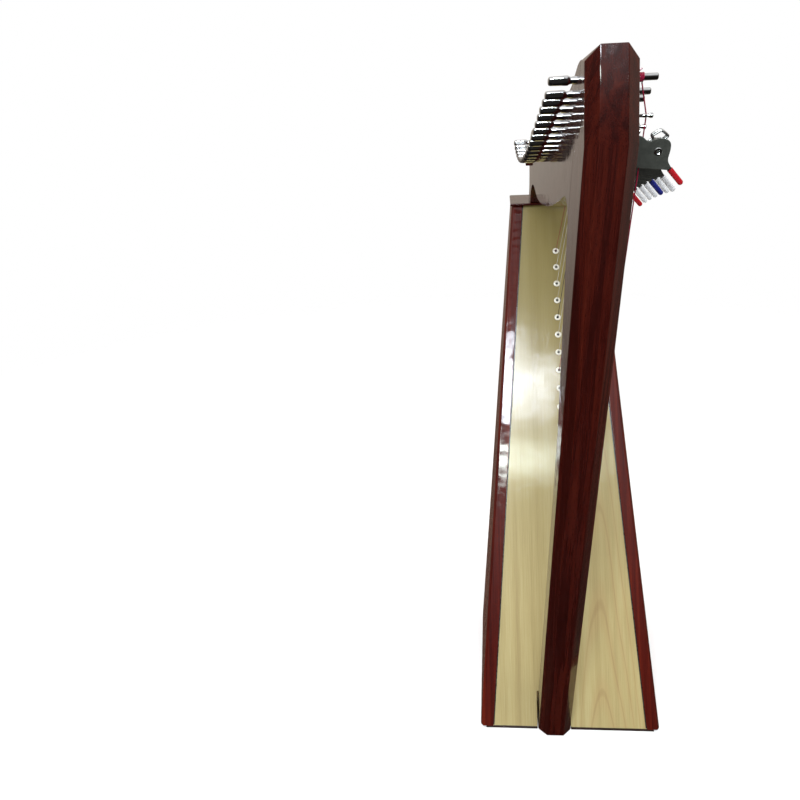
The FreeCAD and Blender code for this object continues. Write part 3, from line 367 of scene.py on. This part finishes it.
def nylon(name, colour, shade, clear):
    """Drawn nylon, partly see-through, with slow changes of tone along it."""
    recipe = Recipe(name)
    tone = recipe.noise(Z_AXIS, 1.5 * MM, 12 * MM, detail=2.0)
    recipe.set(Base_Color=recipe.mix(recipe.level(tone, 0.35, 0.65), colour, shade),
               Roughness=0.22, Transmission_Weight=clear, IOR=1.5,
               Normal=recipe.bump(recipe.grain(0.3 * MM, 1.0), 0.01 * MM))
    return recipe.material


def pale_floor():
    """A plain pale floor that fades into the backdrop away from the harp."""
    fade_start = 0.5
    fade_end = 2.2
    recipe = Recipe("pale_floor")
    tone = recipe.grain(0.4, 2.0)
    where = recipe.add("TexCoord").outputs["Object"]
    distance = recipe.add("VectorMath", {0: where}, operation="LENGTH").outputs["Value"]
    recipe.set(Base_Color=recipe.mix(tone, (0.88, 0.88, 0.88), (0.91, 0.91, 0.91)), Roughness=0.9,
               Alpha=recipe.level(distance, fade_start, fade_end, 1.0, 0.0))
    return recipe.material


# ---------------------------------------------------------------- mesh building

class Shape:
    """The points and faces of one piece, built from rings of points."""

    def __init__(self):
        self.points = []
        self.faces = []
        self.kinds = []

    def face(self, corners, kind):
        self.faces.append(tuple(corners))
        self.kinds.append(kind)

    def loft(self, rings, kind=0, closed=False):
        """Skins the rings one after another, with a cap on both ends unless it is closed."""
        start = len(self.points)
        count = len(rings[0])
        for ring in rings:
            self.points.extend(ring)
        for i in range(len(rings) if closed else len(rings) - 1):
            a = start + i * count
            b = start + (i + 1) % len(rings) * count
            for k in range(count):
                after = (k + 1) % count
                self.face((a + k, a + after, b + after, b + k), kind)
        if not closed:
            last = start + (len(rings) - 1) * count
            self.face([start + k for k in reversed(range(count))], kind)
            self.face([last + k for k in range(count)], kind)

    def piece(self, name, materials, body, sharp=38):
        mesh = bpy.data.meshes.new(name)
        mesh.from_pydata([tuple(point) for point in self.points], [], self.faces)
        for material in materials:
            mesh.materials.append(material)
        mesh.polygons.foreach_set("material_index", self.kinds)
        work = bmesh.new()
        work.from_mesh(mesh)
        bmesh.ops.recalc_face_normals(work, faces=work.faces)
        work.to_mesh(mesh)
        work.free()
        mesh.shade_smooth()
        mesh.set_sharp_from_angle(angle=math.radians(sharp))
        made = bpy.data.objects.new(name, mesh)
        bpy.context.scene.collection.objects.link(made)
        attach(made, body)
        return made


def turned(centre, axis, side, stations, count):
    """Rings about an axis: each station is a distance, a radius and its flats' distance."""
    other = axis.cross(side)
    rings = []
    for distance, radius, flat in stations:
        ring = []
        for k in range(count):
            angle = 2 * math.pi * (k + 0.5) / count
            reach = radius
            if flat is not None:
                reach = min(radius, flat / max(abs(math.cos(angle)), abs(math.sin(angle))))
            spoke = side * math.cos(angle) + other * math.sin(angle)
            ring.append(centre + axis * distance + spoke * reach)
        rings.append(ring)
    return rings


def stations_of(profile, scale, start=0.0):
    """Stations in metres from (distance, radius) or (distance, radius, flat) in another unit."""
    stations = []
    for distance, radius, *flats in profile:
        flat = flats[0] * scale if flats else None
        stations.append((start + distance * scale, radius * scale, flat))
    return stations


def tube(path, radius, side, closed=False):
    """Rings along a path of points; side is a direction that stays across the path."""
    count = 8
    rings = []
    for i, point in enumerate(path):
        before = path[i - 1] if closed or i > 0 else path[0]
        after = path[(i + 1) % len(path)] if closed or i + 1 < len(path) else path[-1]
        ahead = (after - before).normalized()
        side = (side - ahead * side.dot(ahead)).normalized()
        other = ahead.cross(side)
        rings.append([point + (side * math.cos(turn) + other * math.sin(turn)) * radius
                      for turn in (2 * math.pi * k / count for k in range(count))])
    return rings


def rounded(corners, steps=5):
    """A flat outline from (x, z, rounding) corners, each corner eased by a curve."""
    nearly_half = 0.49
    outline = []
    count = len(corners)
    for i, (x, z, rounding) in enumerate(corners):
        corner = Vector((x, z))
        legs = []
        for near in (corners[i - 1], corners[(i + 1) % count]):
            leg = Vector(near[:2]) - corner
            legs.append(corner + leg * min(rounding / leg.length, nearly_half))
        for step in range(steps + 1):
            share = step / steps
            outline.append(legs[0] * (1 - share) ** 2 + corner * 2 * share * (1 - share)
                           + legs[1] * share ** 2)
    return outline


def plate(outline, spot, low, high, edge):
    """Rings of a flat plate with eased edges: spot(x, y, z) gives a point, y from low to high."""
    count = len(outline)
    inner = []
    for i, point in enumerate(outline):
        along = outline[(i + 1) % count] - outline[i - 1]
        inner.append(point + Vector((-along.y, along.x)).normalized() * edge)
    levels = ((inner, low), (outline, low + edge), (outline, high - edge), (inner, high))
    return [[spot(point.x, y, point.y) for point in line] for line, y in levels]


def block(low, high, spot, edge):
    """Rings of a bar with eased edges between two corners."""
    corners = ((low[0], low[2], edge), (high[0], low[2], edge),
               (high[0], high[2], edge), (low[0], high[2], edge))
    return plate(rounded(corners, 2), spot, low[1], high[1], edge * 0.6)


# ---------------------------------------------------------------- wooden parts

def dress(node, material, bevel):
    """Gives a CAD node its material, soft edges and smooth curved faces."""
    shown = frame["nodes"][node]
    mesh = shown.data
    mesh.materials.clear()
    mesh.materials.append(material)
    if "custom_normal" in mesh.attributes:
        mesh.attributes.remove(mesh.attributes["custom_normal"])
    mesh.shade_smooth()
    weld = shown.modifiers.new("weld", "WELD")
    weld.merge_threshold = 0.01 * MM
    flat = shown.modifiers.new("flatten", "DECIMATE")
    flat.decimate_type = "DISSOLVE"
    flat.angle_limit = math.radians(0.3)
    soft = shown.modifiers.new("edges", "BEVEL")
    soft.width = bevel
    soft.segments = 3
    soft.limit_method = "ANGLE"
    soft.angle_limit = math.radians(30)
    soft.harden_normals = True
    soft.use_clamp_overlap = False


def direction_of(node):
    """The way a long upright node leans, from its lower end to half of its height."""
    points = [vertex.co for vertex in frame["nodes"][node].data.vertices]
    low, high = box_of(points)
    foot = middle_of([point for point in points if point.z < low.z + MM])
    above = [point for point in points if point.z > (low.z + high.z) / 2]
    start = min(point.z for point in above)
    head = middle_of([point for point in above if point.z < start + MM])
    return (Vector((0, head.y, head.z)) - Vector((0, foot.y, foot.z))).normalized()


def dress_wood():
    """Each wooden CAD node with its wood and the width of its eased edges in millimetres."""
    along_neck = Vector((0, 1, -0.25)).normalized()
    rim_wood = mahogany("mahogany_rims", UP_BOARD, 1.0)
    side_wood = back_wood("side_wood", UP_BOARD)
    # One mahogany at two levels of painted light: full on the rims, which face up into the light, and
    # under half on the pillar, neck and cap as painted shade.
    woods = {
        "pillar": (mahogany("mahogany_pillar", direction_of("pillar"), 0.44), 0.6),
        "neck": (mahogany("mahogany_neck", along_neck, 0.42), 0.7),
        "left_rim": (rim_wood, 0.8),
        "right_rim": (rim_wood, 0.8),
        "top_cap": (mahogany("mahogany_cap", X_AXIS, 0.42), 0.6),
        "left_side_panel": (side_wood, 0.4),
        "right_side_panel": (side_wood, 0.4),
        "back_panel": (back_wood("panel_wood", UP_BOARD), 0.6),
        "base_board": (dark_wood(), 0.6),
        "soundboard": (maple(), 0.3),
        "inner_braces": (spruce(), 0.5)}
    for node, (material, bevel) in woods.items():
        dress(node, material, bevel * MM)


def board_corners():
    """The soundboard's front face: its left and right edge, each from bottom to top."""
    near = 0.1 * MM
    points = [vertex.co for vertex in frame["nodes"]["soundboard"].data.vertices]
    face = max(point.dot(OUT_OF_BOARD) for point in points)
    front = [point for point in points if point.dot(OUT_OF_BOARD) > face - SKIN]
    ends = []
    for side in (-1, 1):
        half = [point for point in front if point.x * side > 0]
        low = min(point.z for point in half)
        high = max(point.z for point in half)
        bottom = max((p for p in half if p.z < low + near), key=lambda p: p.x * side)
        top = max((p for p in half if p.z > high - near), key=lambda p: p.x * side)
        ends.append((bottom.copy(), top.copy()))
    return ends


def make_rim_shadow_lines(material):
    """Two thin black strips along the soundboard's edges: painted shadow where the raised rims meet the
    board.
    """
    width = 1.5 * MM
    height = 0.25 * MM
    section = ((0, -height), (width, -height), (width, height * 0.6),
               (width * 0.8, height), (width * 0.2, height), (0, height * 0.6))
    shape = Shape()
    for side, (bottom, top) in zip((-1, 1), board_corners()):
        along = (top - bottom).normalized()
        rings = []
        for point in (bottom + along * MM, top - along * MM):
            rings.append([point - X_AXIS * side * across + OUT_OF_BOARD * out for across, out in section])
        shape.loft(rings)
    shape.piece("board_rim_shadow", [material], FRAME_BODY)


# ---------------------------------------------------------------- tuning pins

def tuning_pin_places(number):
    """The pin's middle line as its left end, and its length."""
    low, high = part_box("tuning_pin_%02d" % number)
    pivot = JOINTS["tuning_pin_%02d_turn" % number]["pos_m"]
    return Vector((low.x, pivot[1], pivot[2])), high.x - low.x


def string_end(number):
    """The upper end of a string and its radius."""
    depth = 0.4 * MM
    points = STRINGS[number - 1]
    top = max(point.z for point in points)
    ring = [point for point in points if point.z > top - depth]
    centre = middle_of(ring)
    return centre, max((point - centre).length for point in ring)


# A tuning pin's profile in millimetres: (distance, radius) and, on the drive, half the width
# across its flats. Distances are from the drive's end for the drive and the waist, from the
# neck's face for the step, and from the other end for the tip.
PIN_DRIVE = ((0, 1.6, 3.8), (0.3, 2.7, 3.8), (1.1, 3.6, 3.8), (2.6, 4.3, 3.8), (4.6, 4.6, 3.8),
             (12, 4.6, 3.914), (16, 4.6, 4.18))
PIN_WAIST = ((17.4, 4.1), (18.6, 3.3), (19.8, 3.0), (21, 3.05), (22.2, 3.35), (23.2, 3.5))
PIN_STEP = ((3.5, 3.5), (4.3, 3.0))
PIN_TIP = ((-1.3, 3.0), (-0.5, 2.75), (-0.1, 2.2), (0, 1.5))
PIN_END = 3.0 * MM
COIL_TURNS = 3.75
COIL_PITCH = 2.15   # per turn, in string radii
COIL_SEAT = 0.92    # from the pin's surface to the string's middle, in string radii


def coil_path(number):
    """The string's turns on its pin, then its cut end, which comes out of the pin's hole."""
    steps = 14
    left, _ = tuning_pin_places(number)
    end, thick = string_end(number)
    radius = PIN_END + thick * COIL_SEAT
    path = []
    for i in range(int(COIL_TURNS * steps) + 1):
        angle = 2 * math.pi * i / steps
        along = end.x - thick * COIL_PITCH * i / steps
        path.append(Vector((along, left.y + radius * math.cos(angle), left.z + radius * math.sin(angle))))
    out = Vector((0, path[-1].y - left.y, path[-1].z - left.z)).normalized()
    hole = path[-1] - X_AXIS * thick * 2.4
    exit_point = hole - out * radius * 1.6
    path += [hole - out * radius * 0.3, exit_point]
    tail = 5 * MM
    lean = (3.5 + 2.1 * math.sin(number * 2.3)) * MM
    for share in (0.35, 0.7, 1.0):
        path.append(exit_point - out * tail * share + X_AXIS * lean * share ** 1.5)
    return path, thick


def make_tuning_pin(number, chrome, string_material):
    left, length = tuning_pin_places(number)
    stations = stations_of(PIN_DRIVE + PIN_WAIST, MM)
    stations += stations_of(PIN_STEP, MM, NECK_FACE - left.x)
    stations += stations_of(PIN_TIP, MM, length)
    shape = Shape()
    shape.loft(turned(left, X_AXIS, Y_AXIS, stations, 32))
    path, thick = coil_path(number)
    shape.loft(tube(path, thick, X_AXIS), kind=1)
    made = shape.piece("pin_%02d" % number, [chrome, string_material],
                       "tuning_pin_%02d" % number)
    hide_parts("tuning_pin_%02d" % number)


# ---------------------------------------------------------------- levers

LEVER_BOX = {number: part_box("lever_%02d" % number) for number in NUMBERS}
LARGE_SPAN = LEVER_BOX[1][1].x - LEVER_BOX[1][0].x


class LeverFrame:
    """A lever's own axes: x away from the neck, y along the pivot, z up along the string."""

    def __init__(self, number):
        joint = JOINTS["lever_%02d_flip" % number]
        low, high = LEVER_BOX[number]
        self.pivot = Vector(joint["pos_m"])
        self.y_axis = -Vector(joint["axis"]).normalized()
        self.z_axis = X_AXIS.cross(self.y_axis)
        self.scale = (high.x - low.x) / LARGE_SPAN * MM
        self.reach = (self.pivot.x - NECK_FACE) / self.scale

    def spot(self, x, y, z):
        """A point given in millimetres of a large lever."""
        moved = X_AXIS * x + self.y_axis * y + self.z_axis * z
        return self.pivot + moved * self.scale


# A large lever's sizes in millimetres, in its own axes: (x, z) and, for outlines, the rounding.
HUB = 6.5
SLEEVE_ROOT = Vector((13.8, -18.0))
SLEEVE_SLOPE = math.radians(48)
SLEEVE_LENGTH = 20.0
SLEEVE_RADIUS = 2.7
ARM_HALF_THICKNESS = 2.0
FORK_LOOP = ((-3.4, 5.5, 1.0), (3.6, 5.5, 1.0), (4.6, 9.5, 1.5), (8.6, 12.6, 1.6),
             (1.6, 18.1, 2.2), (-6.2, 13.4, 1.6), (-4.0, 9.5, 1.5))
FORK_ROD = 1.15
FORK_HALF_WIDTH = 2.2
WEB = ((-3.6, 4.4, 0.6), (3.6, 4.4, 0.6), (4.3, 10.6, 1.0), (-4.1, 10.6, 1.0))
WEB_HALF_THICKNESS = 0.7
PLATE_FACE = -5.5
PLATE_THICKNESS = 2.0
PLATE_BOTTOM = -12.5
PLATE_TOP = 15.0
RIVET = ((-5.3, 2.6), (-5.5, 3.5), (-6.1, 3.55), (-6.6, 3.1), (-6.7, 2.5), (-6.3, 1.9),
         (-5.6, 1.6), (-5.2, 0.5))
AXLE = ((-5.4, 2.0), (2.2, 2.0), (2.3, 3.4), (2.9, 3.4), (3.1, 3.0), (3.15, 1.0))


def hub_and_arm():
    """The lever's side view: a round hub with an arm that narrows down to the sleeve."""
    first_angle = 12
    last_angle = 232
    steps = 24
    ahead = Vector((math.cos(SLEEVE_SLOPE), -math.sin(SLEEVE_SLOPE)))
    across = Vector((-ahead.y, ahead.x))
    outline = []
    for step in range(steps + 1):
        angle = math.radians(first_angle + step * (last_angle - first_angle) / steps)
        outline.append(Vector((math.cos(angle), math.sin(angle))) * HUB)
    for along, aside in ((-6, -3.3), (1.5, -1.7), (1.5, 1.7), (-5.5, 2.6)):
        outline.append(SLEEVE_ROOT + ahead * along + across * aside)
    return outline


def fork_loop(place, side):
    """One prong of the fork: a rounded triangle of rod beside the string."""
    path = [place.spot(point.x, side * FORK_HALF_WIDTH, point.y) for point in rounded(FORK_LOOP, 4)]
    return tube(path, FORK_ROD * place.scale, place.y_axis, closed=True)


def sleeve_rings(place):
    """A plastic sleeve: a lip, a slightly tapered tube and a round tip."""
    steps = 7
    tip_radius = SLEEVE_RADIUS * 0.97
    straight = SLEEVE_LENGTH - SLEEVE_RADIUS
    ahead = X_AXIS * math.cos(SLEEVE_SLOPE) - place.z_axis * math.sin(SLEEVE_SLOPE)
    root = place.spot(SLEEVE_ROOT.x, 0, SLEEVE_ROOT.y)
    profile = [(0.0, SLEEVE_RADIUS * 0.55), (0.12, SLEEVE_RADIUS * 0.86), (0.5, SLEEVE_RADIUS),
               (2.2, SLEEVE_RADIUS), (straight * 0.6, tip_radius)]
    for step in range(steps):
        turn = math.radians(90 * step / (steps - 0.6))
        profile.append((straight + SLEEVE_RADIUS * math.sin(turn), tip_radius * math.cos(turn)))
    return turned(root, ahead, place.y_axis, stations_of(profile, place.scale), 20)


def make_lever(number, metals, sleeve_material):
    place = LeverFrame(number)
    body = "lever_%02d" % number
    shape = Shape()
    shape.loft(plate(hub_and_arm(), place.spot, -ARM_HALF_THICKNESS, ARM_HALF_THICKNESS, 0.35))
    for side in (-1, 1):
        middle = side * FORK_HALF_WIDTH
        shape.loft(fork_loop(place, side), kind=1, closed=True)
        shape.loft(plate(rounded(WEB, 3), place.spot, middle - WEB_HALF_THICKNESS,
                         middle + WEB_HALF_THICKNESS, 0.2), kind=1)
    made = shape.piece("lever_arm_%02d" % number, metals, body)
    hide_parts(body)
    sleeve = Shape()
    sleeve.loft(sleeve_rings(place))
    sleeve.piece("lever_sleeve_%02d" % number, [sleeve_material], body)


def bracket_outline(reach):
    """The bracket's side view, round over the pivot and drawn in above the lever's arm."""
    return rounded((
        (-reach, PLATE_BOTTOM, 0.5), (3.0, -16.6, 7.0), (11.6, -17.6, 1.6), (13.6, -14.8, 1.2),
        (9.4, -8.6, 5.0), (11.4, 0.5, 5.0), (10.8, 8.6, 6.0), (3.0, 11.9, 5.0),
        (-5.0, 10.6, 4.0), (-9.6, 8.4, 3.4), (-14.6, 13.4, 4.5), (-20.0, PLATE_TOP, 3.0),
        (-reach, PLATE_TOP, 0.5)))


def make_brackets(coated, chrome):
    """Each lever's coated plate with its foot against the neck, and its riveted axle."""
    foot_thickness = 2.5 * MM
    plates = Shape()
    axles = Shape()
    for number in NUMBERS:
        place = LeverFrame(number)
        outline = bracket_outline(place.reach)
        plates.loft(plate(outline, place.spot, PLATE_FACE, PLATE_FACE + PLATE_THICKNESS, 0.3))
        foot_low = (-place.reach, PLATE_FACE + 0.1, PLATE_BOTTOM + 0.1)
        foot_high = (-place.reach + foot_thickness / place.scale, -PLATE_FACE, PLATE_TOP - 0.2)
        plates.loft(block(foot_low, foot_high, place.spot, 0.5))
        for profile in (RIVET, AXLE):
            axles.loft(turned(place.pivot, place.y_axis, X_AXIS, stations_of(profile, place.scale), 20))
    made = plates.piece("lever_plates", [coated], FRAME_BODY)
    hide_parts("lever_brackets")
    axles.piece("lever_axles", [chrome], FRAME_BODY, 30)


# A screw's profile: the depth below its top in millimetres, then its radius and half the width of
# its square socket as shares of its head's radius.
SCREW = ((3, 0.5, None), (1.8, 0.55, None), (1.75, 0.97, None), (1.3, 1, None), (0.7, 0.9, None),
         (0.2, 0.66, None), (0, 0.48, None), (0.05, 0.44, 0.36), (0.9, 0.4, 0.34))


def make_screws(steel):
    """Round-headed screws with a square socket, on the brackets' feet."""
    shape = Shape()
    for points in islands("lever_screws"):
        low, high = box_of(points)
        centre = Vector((0, (low.y + high.y) / 2, (low.z + high.z) / 2))
        head = (high.y - low.y) / 2
        stations = []
        for depth, radius, flat in SCREW:
            stations.append((high.x - depth * MM, head * radius, flat and head * flat))
        shape.loft(turned(centre, X_AXIS, Y_AXIS, stations, 24))
    made = shape.piece("screw_heads", [steel], FRAME_BODY, 30)
    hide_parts("lever_screws")


# ---------------------------------------------------------------- bridge pins, eyelets, strings

def bridge_pin_profile(tip, groove):
    """From the neck outwards in millimetres: a collar, ribs, the string's groove and a head."""
    rib = 2.0
    rib_pitch = 0.9
    shank = 1.5
    profile = [(-0.2, shank), (0.2, shank * 1.25), (1.6, shank * 1.25)]
    while rib < groove - 3.4:
        profile.append((rib, shank * 0.9))
        profile.append((rib + rib_pitch / 2, shank * 1.08))
        rib += rib_pitch
    for past_groove, share in ((-2, 1.15), (-0.8, 0.95), (0, 0.88), (0.8, 0.95), (2, 1.2), (3, 1.45)):
        profile.append((groove + past_groove, shank * share))
    for before_tip, share in ((0.6, 1.5), (0.15, 1.15), (0, 0.6)):
        profile.append((tip - before_tip, shank * share))
    return profile


def make_bridge_pins(chrome):
    """Ribbed pins with a groove for the string and a rounded head."""
    shape = Shape()
    for number, points in enumerate(BRIDGE_PINS, 1):
        low, high = box_of(points)
        centre = Vector((NECK_FACE, (low.y + high.y) / 2, (low.z + high.z) / 2))
        tip = (high.x - NECK_FACE) / MM
        groove = (string_seat(number).x - NECK_FACE) / MM
        profile = [((low.x - NECK_FACE) / MM, 1.5)] + bridge_pin_profile(tip, groove)
        shape.loft(turned(centre, X_AXIS, Y_AXIS, stations_of(profile, MM), 20))
    made = shape.piece("bridge_pin_row", [chrome], FRAME_BODY, 30)
    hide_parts("bridge_pins")


# An eyelet's profiles in millimetres, (distance out of its mouth, radius): the flange with its rolled
# edge, and a thin dark tube and cap inside its bore that paint the shade in the hole.
BORE = 1.95
FLANGE = 4.8
SHANK = BORE * 1.25
BORE_SHADE_RADIUS = BORE * 0.985
EYELET = ((0.0, BORE + 0.15), (0.0, BORE + 0.5), (0.05, FLANGE * 0.78), (-0.25, FLANGE * 0.94),
          (-0.75, FLANGE), (-1.2, FLANGE * 0.97), (-1.25, SHANK), (-6.0, SHANK), (-6.0, BORE),
          (-0.35, BORE))
BORE_SHADE_PROFILE = ((-0.4, BORE_SHADE_RADIUS), (-6.05, BORE_SHADE_RADIUS * 0.99), (-6.25, 0.2955), (-5.4, 0.3),
          (-5.2, BORE * 0.93), (-0.45, BORE * 0.95))


def make_eyelets(white, dark):
    """Flanged bushes with a rolled edge and painted shade inside the bore."""
    shape = Shape()
    for mouth in EYELET_MOUTHS:
        for kind, profile in enumerate((EYELET, BORE_SHADE_PROFILE)):
            rings = turned(mouth, OUT_OF_BOARD, X_AXIS, stations_of(profile, MM), 28)
            shape.loft(rings, kind, closed=True)
    made = shape.piece("eyelet_row", [white, dark], FRAME_BODY, 30)
    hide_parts("string_eyelets")


def string_seat(number):
    """Where a string bends at its bridge pin."""
    mouth = EYELET_MOUTHS[number - 1]
    end, thick = string_end(number)
    level = middle_of(BRIDGE_PINS[number - 1]).z
    share = (level - mouth.z) / (end.z - mouth.z)
    side = max(point.x for point in STRINGS[number - 1]) - thick * 1.3
    return Vector((side, mouth.y + (end.y - mouth.y) * share, level))


def string_path(number):
    """From the knot behind the board, through the eyelet and past the bridge pin to the coil."""
    mouth = EYELET_MOUTHS[number - 1]
    seat = string_seat(number)
    end, thick = string_end(number)
    left, _ = tuning_pin_places(number)
    tangent = Vector((end.x, left.y + PIN_END + thick * COIL_SEAT, left.z))
    up = (seat - mouth).normalized()
    bend = 1.5 * MM
    path = [mouth - OUT_OF_BOARD * 9 * MM, mouth - OUT_OF_BOARD * 1.2 * MM, mouth + up * MM]
    path += [mouth.lerp(seat, share) for share in (0.25, 0.5, 0.75)]
    path += [seat - up * bend, seat, seat + (end - seat).normalized() * bend]
    path += [end.lerp(seat, 0.5), end, end.lerp(tangent, 0.6), tangent]
    return path, thick


# A knot's profile in millimetres: (distance, radius).
KNOT = ((-2.2, 0.4), (-1.9, 1.4), (-1.0, 2.1), (0.0, 2.3), (1.0, 2.0), (1.8, 1.2), (2.1, 0.3))


def make_strings(name, numbers, material):
    """The strings of one colour, each with its knot behind the board."""
    shape = Shape()
    for number in numbers:
        path, thick = string_path(number)
        shape.loft(tube(path, thick, X_AXIS))
        shape.loft(turned(path[0], OUT_OF_BOARD, X_AXIS, stations_of(KNOT, MM), 12))
    made = shape.piece(name, [material], FRAME_BODY, 60)
    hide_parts("strings")


# ---------------------------------------------------------------- the whole harp

def colour_of(number):
    """The colour of a string and its lever's sleeve: every C is red and every F blue."""
    if number in C_STRINGS:
        return "red"
    if number in F_STRINGS:
        return "blue"
    return "white"


def build_harp():
    chrome = metal("chrome", (0.8, 0.81, 0.82), 0.06, 0.004 * MM)
    steel = metal("steel", (0.56, 0.56, 0.57), 0.22, 0.01 * MM)
    bright = metal("bright_rod", (0.86, 0.86, 0.85), 0.2, 0.004 * MM)
    coated = coated_metal()
    # Black plastic used as painted shade: the strips of shadow beside the rims and the dark inside of the
    # eyelets' bores.
    black = plastic("painted_shade_black", (0.012, 0.012, 0.012), (0.02, 0.018, 0.016))
    white = plastic("eyelet_white", (0.58, 0.56, 0.47), (0.65, 0.63, 0.55))
    sleeves = {"red": plastic("sleeve_red", (0.36, 0.002, 0.009), (0.3, 0.002, 0.007)),
               "blue": plastic("sleeve_blue", (0.006, 0.009, 0.13), (0.009, 0.014, 0.18)),
               "white": plastic("sleeve_white", (0.56, 0.58, 0.6), (0.63, 0.64, 0.66))}
    strings = {"red": nylon("string_red", (0.22, 0.008, 0.03), (0.3, 0.012, 0.045), 0.2),
               "blue": nylon("string_blue", (0.012, 0.014, 0.035), (0.02, 0.024, 0.06), 0.1),
               "white": nylon("string_clear", (0.62, 0.6, 0.52), (0.72, 0.7, 0.62), 0.5)}
    dress_wood()
    make_rim_shadow_lines(black)
    for number in NUMBERS:
        colour = colour_of(number)
        make_tuning_pin(number, chrome, strings[colour])
        make_lever(number, [steel, bright], sleeves[colour])
    make_brackets(coated, chrome)
    make_screws(steel)
    make_bridge_pins(chrome)
    make_eyelets(white, black)
    for colour, name in (("red", "strings_red"), ("blue", "strings_blue"), ("white", "strings_clear")):
        numbers = [number for number in NUMBERS if colour_of(number) == colour]
        make_strings(name, numbers, strings[colour])


# ---------------------------------------------------------------- studio

CAMERA_PLACE = (-0.14674, -0.78176, 0.8911)
CAMERA_TURN = (65.1718, 2.7347, 4.1905)
CAMERA_LENS = 33.07
CAMERA_SENSOR = 36.0

# Lamps: name, place, width and height, power in watts and colour. The first show only in
# reflections, the others only as soft light.
MIRRORED_LAMPS = (
    ("window", (-0.6, -2.1, 2.62), (1.9, 0.45), 105, (0.84, 0.91, 1.0)),
    ("strip", (-0.6, -2.1, 2.03), (1.9, 0.14), 26, (0.88, 1.0, 0.94)))
SOFT_LAMPS = (
    ("front", (-0.45, -2.1, 2.3), (1.4, 0.55), 74, (0.9, 0.95, 1.0)),
    ("ceiling", (0.0, 0.3, 3.0), (3.0, 3.0), 58, (1.0, 0.98, 0.95)),
    ("left", (-2.6, 0.2, 1.2), (1.6, 1.8), 26, (1.0, 0.97, 0.93)),
    ("right", (2.4, -0.8, 1.6), (1.2, 1.6), 24, (1.0, 0.99, 0.97)))


def make_camera():
    data = bpy.data.cameras.new("camera")
    data.lens = CAMERA_LENS
    data.sensor_width = CAMERA_SENSOR
    data.clip_start = 0.01
    camera = bpy.data.objects.new("camera", data)
    camera.location = CAMERA_PLACE
    camera.rotation_euler = [math.radians(angle) for angle in CAMERA_TURN]
    bpy.context.scene.collection.objects.link(camera)
    bpy.context.scene.camera = camera


def make_floor():
    size = 9.0
    sides = 48
    mesh = bpy.data.meshes.new("floor")
    corners = [(size * math.cos(turn), size * math.sin(turn), 0)
               for turn in (2 * math.pi * k / sides for k in range(sides))]
    mesh.from_pydata(corners, [], [tuple(range(sides))])
    mesh.materials.append(pale_floor())
    floor = bpy.data.objects.new("floor", mesh)
    bpy.context.scene.collection.objects.link(floor)
    floor.visible_glossy = False


def make_light(name, place, size, power, colour):
    data = bpy.data.lights.new(name, "AREA")
    data.shape = "RECTANGLE"
    data.size, data.size_y = size
    data.energy = power
    data.color = colour
    light = bpy.data.objects.new(name, data)
    light.location = place
    towards = sum(CAD_BOX, Vector()) / 2 - Vector(place)
    light.rotation_euler = towards.to_track_quat("-Z", "Y").to_euler()
    light.visible_camera = False
    bpy.context.scene.collection.objects.link(light)
    return light


class Backdrop(Recipe):
    """The world's node tree, with the same short calls as a material's."""

    def __init__(self):
        world = bpy.data.worlds.new("studio")
        bpy.context.scene.world = world
        world.use_nodes = True
        self.tree = world.node_tree
        self.surface = self.tree.nodes["Background"]


# What reflections see of the room, from the front to the wall behind and from below to above.
WALL_TONES = ((0.0, (0.02, 0.018, 0.017)), (0.45, (0.035, 0.03, 0.027)), (0.62, (0.3, 0.26, 0.22)),
              (1.0, (0.47, 0.41, 0.35)))
HEIGHT_TONES = ((0.0, (0.1, 0.1, 0.1)), (0.3, (0.3, 0.28, 0.26)), (0.48, (1.0, 1.0, 1.0)),
                (0.8, (1.3, 1.3, 1.3)))


def make_world():
    """White for the camera, even for soft light; reflections see a dark front and a beige wall."""
    recipe = Backdrop()
    rays = recipe.add("LightPath").outputs
    way = recipe.add("SeparateXYZ", {0: recipe.add("TexCoord").outputs["Generated"]}).outputs
    wall = recipe.ramp(recipe.level(way[1], -1.0, 1.0), WALL_TONES)
    height = recipe.ramp(recipe.level(way[2], -1.0, 1.0), HEIGHT_TONES)
    room = recipe.add("Mix", {0: 1.0, 6: wall, 7: height}, data_type="RGBA", blend_type="MULTIPLY")
    seen = recipe.mix(recipe.level(way[2], 0.35, 0.8), room.outputs[2], (0.8, 0.8, 0.8))
    seen = recipe.mix(rays["Is Diffuse Ray"], seen, (0.5, 0.49, 0.48))
    recipe.set(Color=recipe.mix(rays["Is Camera Ray"], seen, (1.0, 1.0, 1.0)))


def make_studio():
    """Backdrop, floor and lamps; the pillar doesn't hide the window's glare on the board."""
    make_world()
    make_floor()
    for lamp in MIRRORED_LAMPS:
        make_light(*lamp).visible_diffuse = False
    for lamp in SOFT_LAMPS:
        make_light(*lamp).visible_glossy = False
    frame["nodes"]["pillar"].visible_glossy = False
    bpy.context.scene.view_settings.view_transform = "Standard"


build_harp()
make_studio()
make_camera()
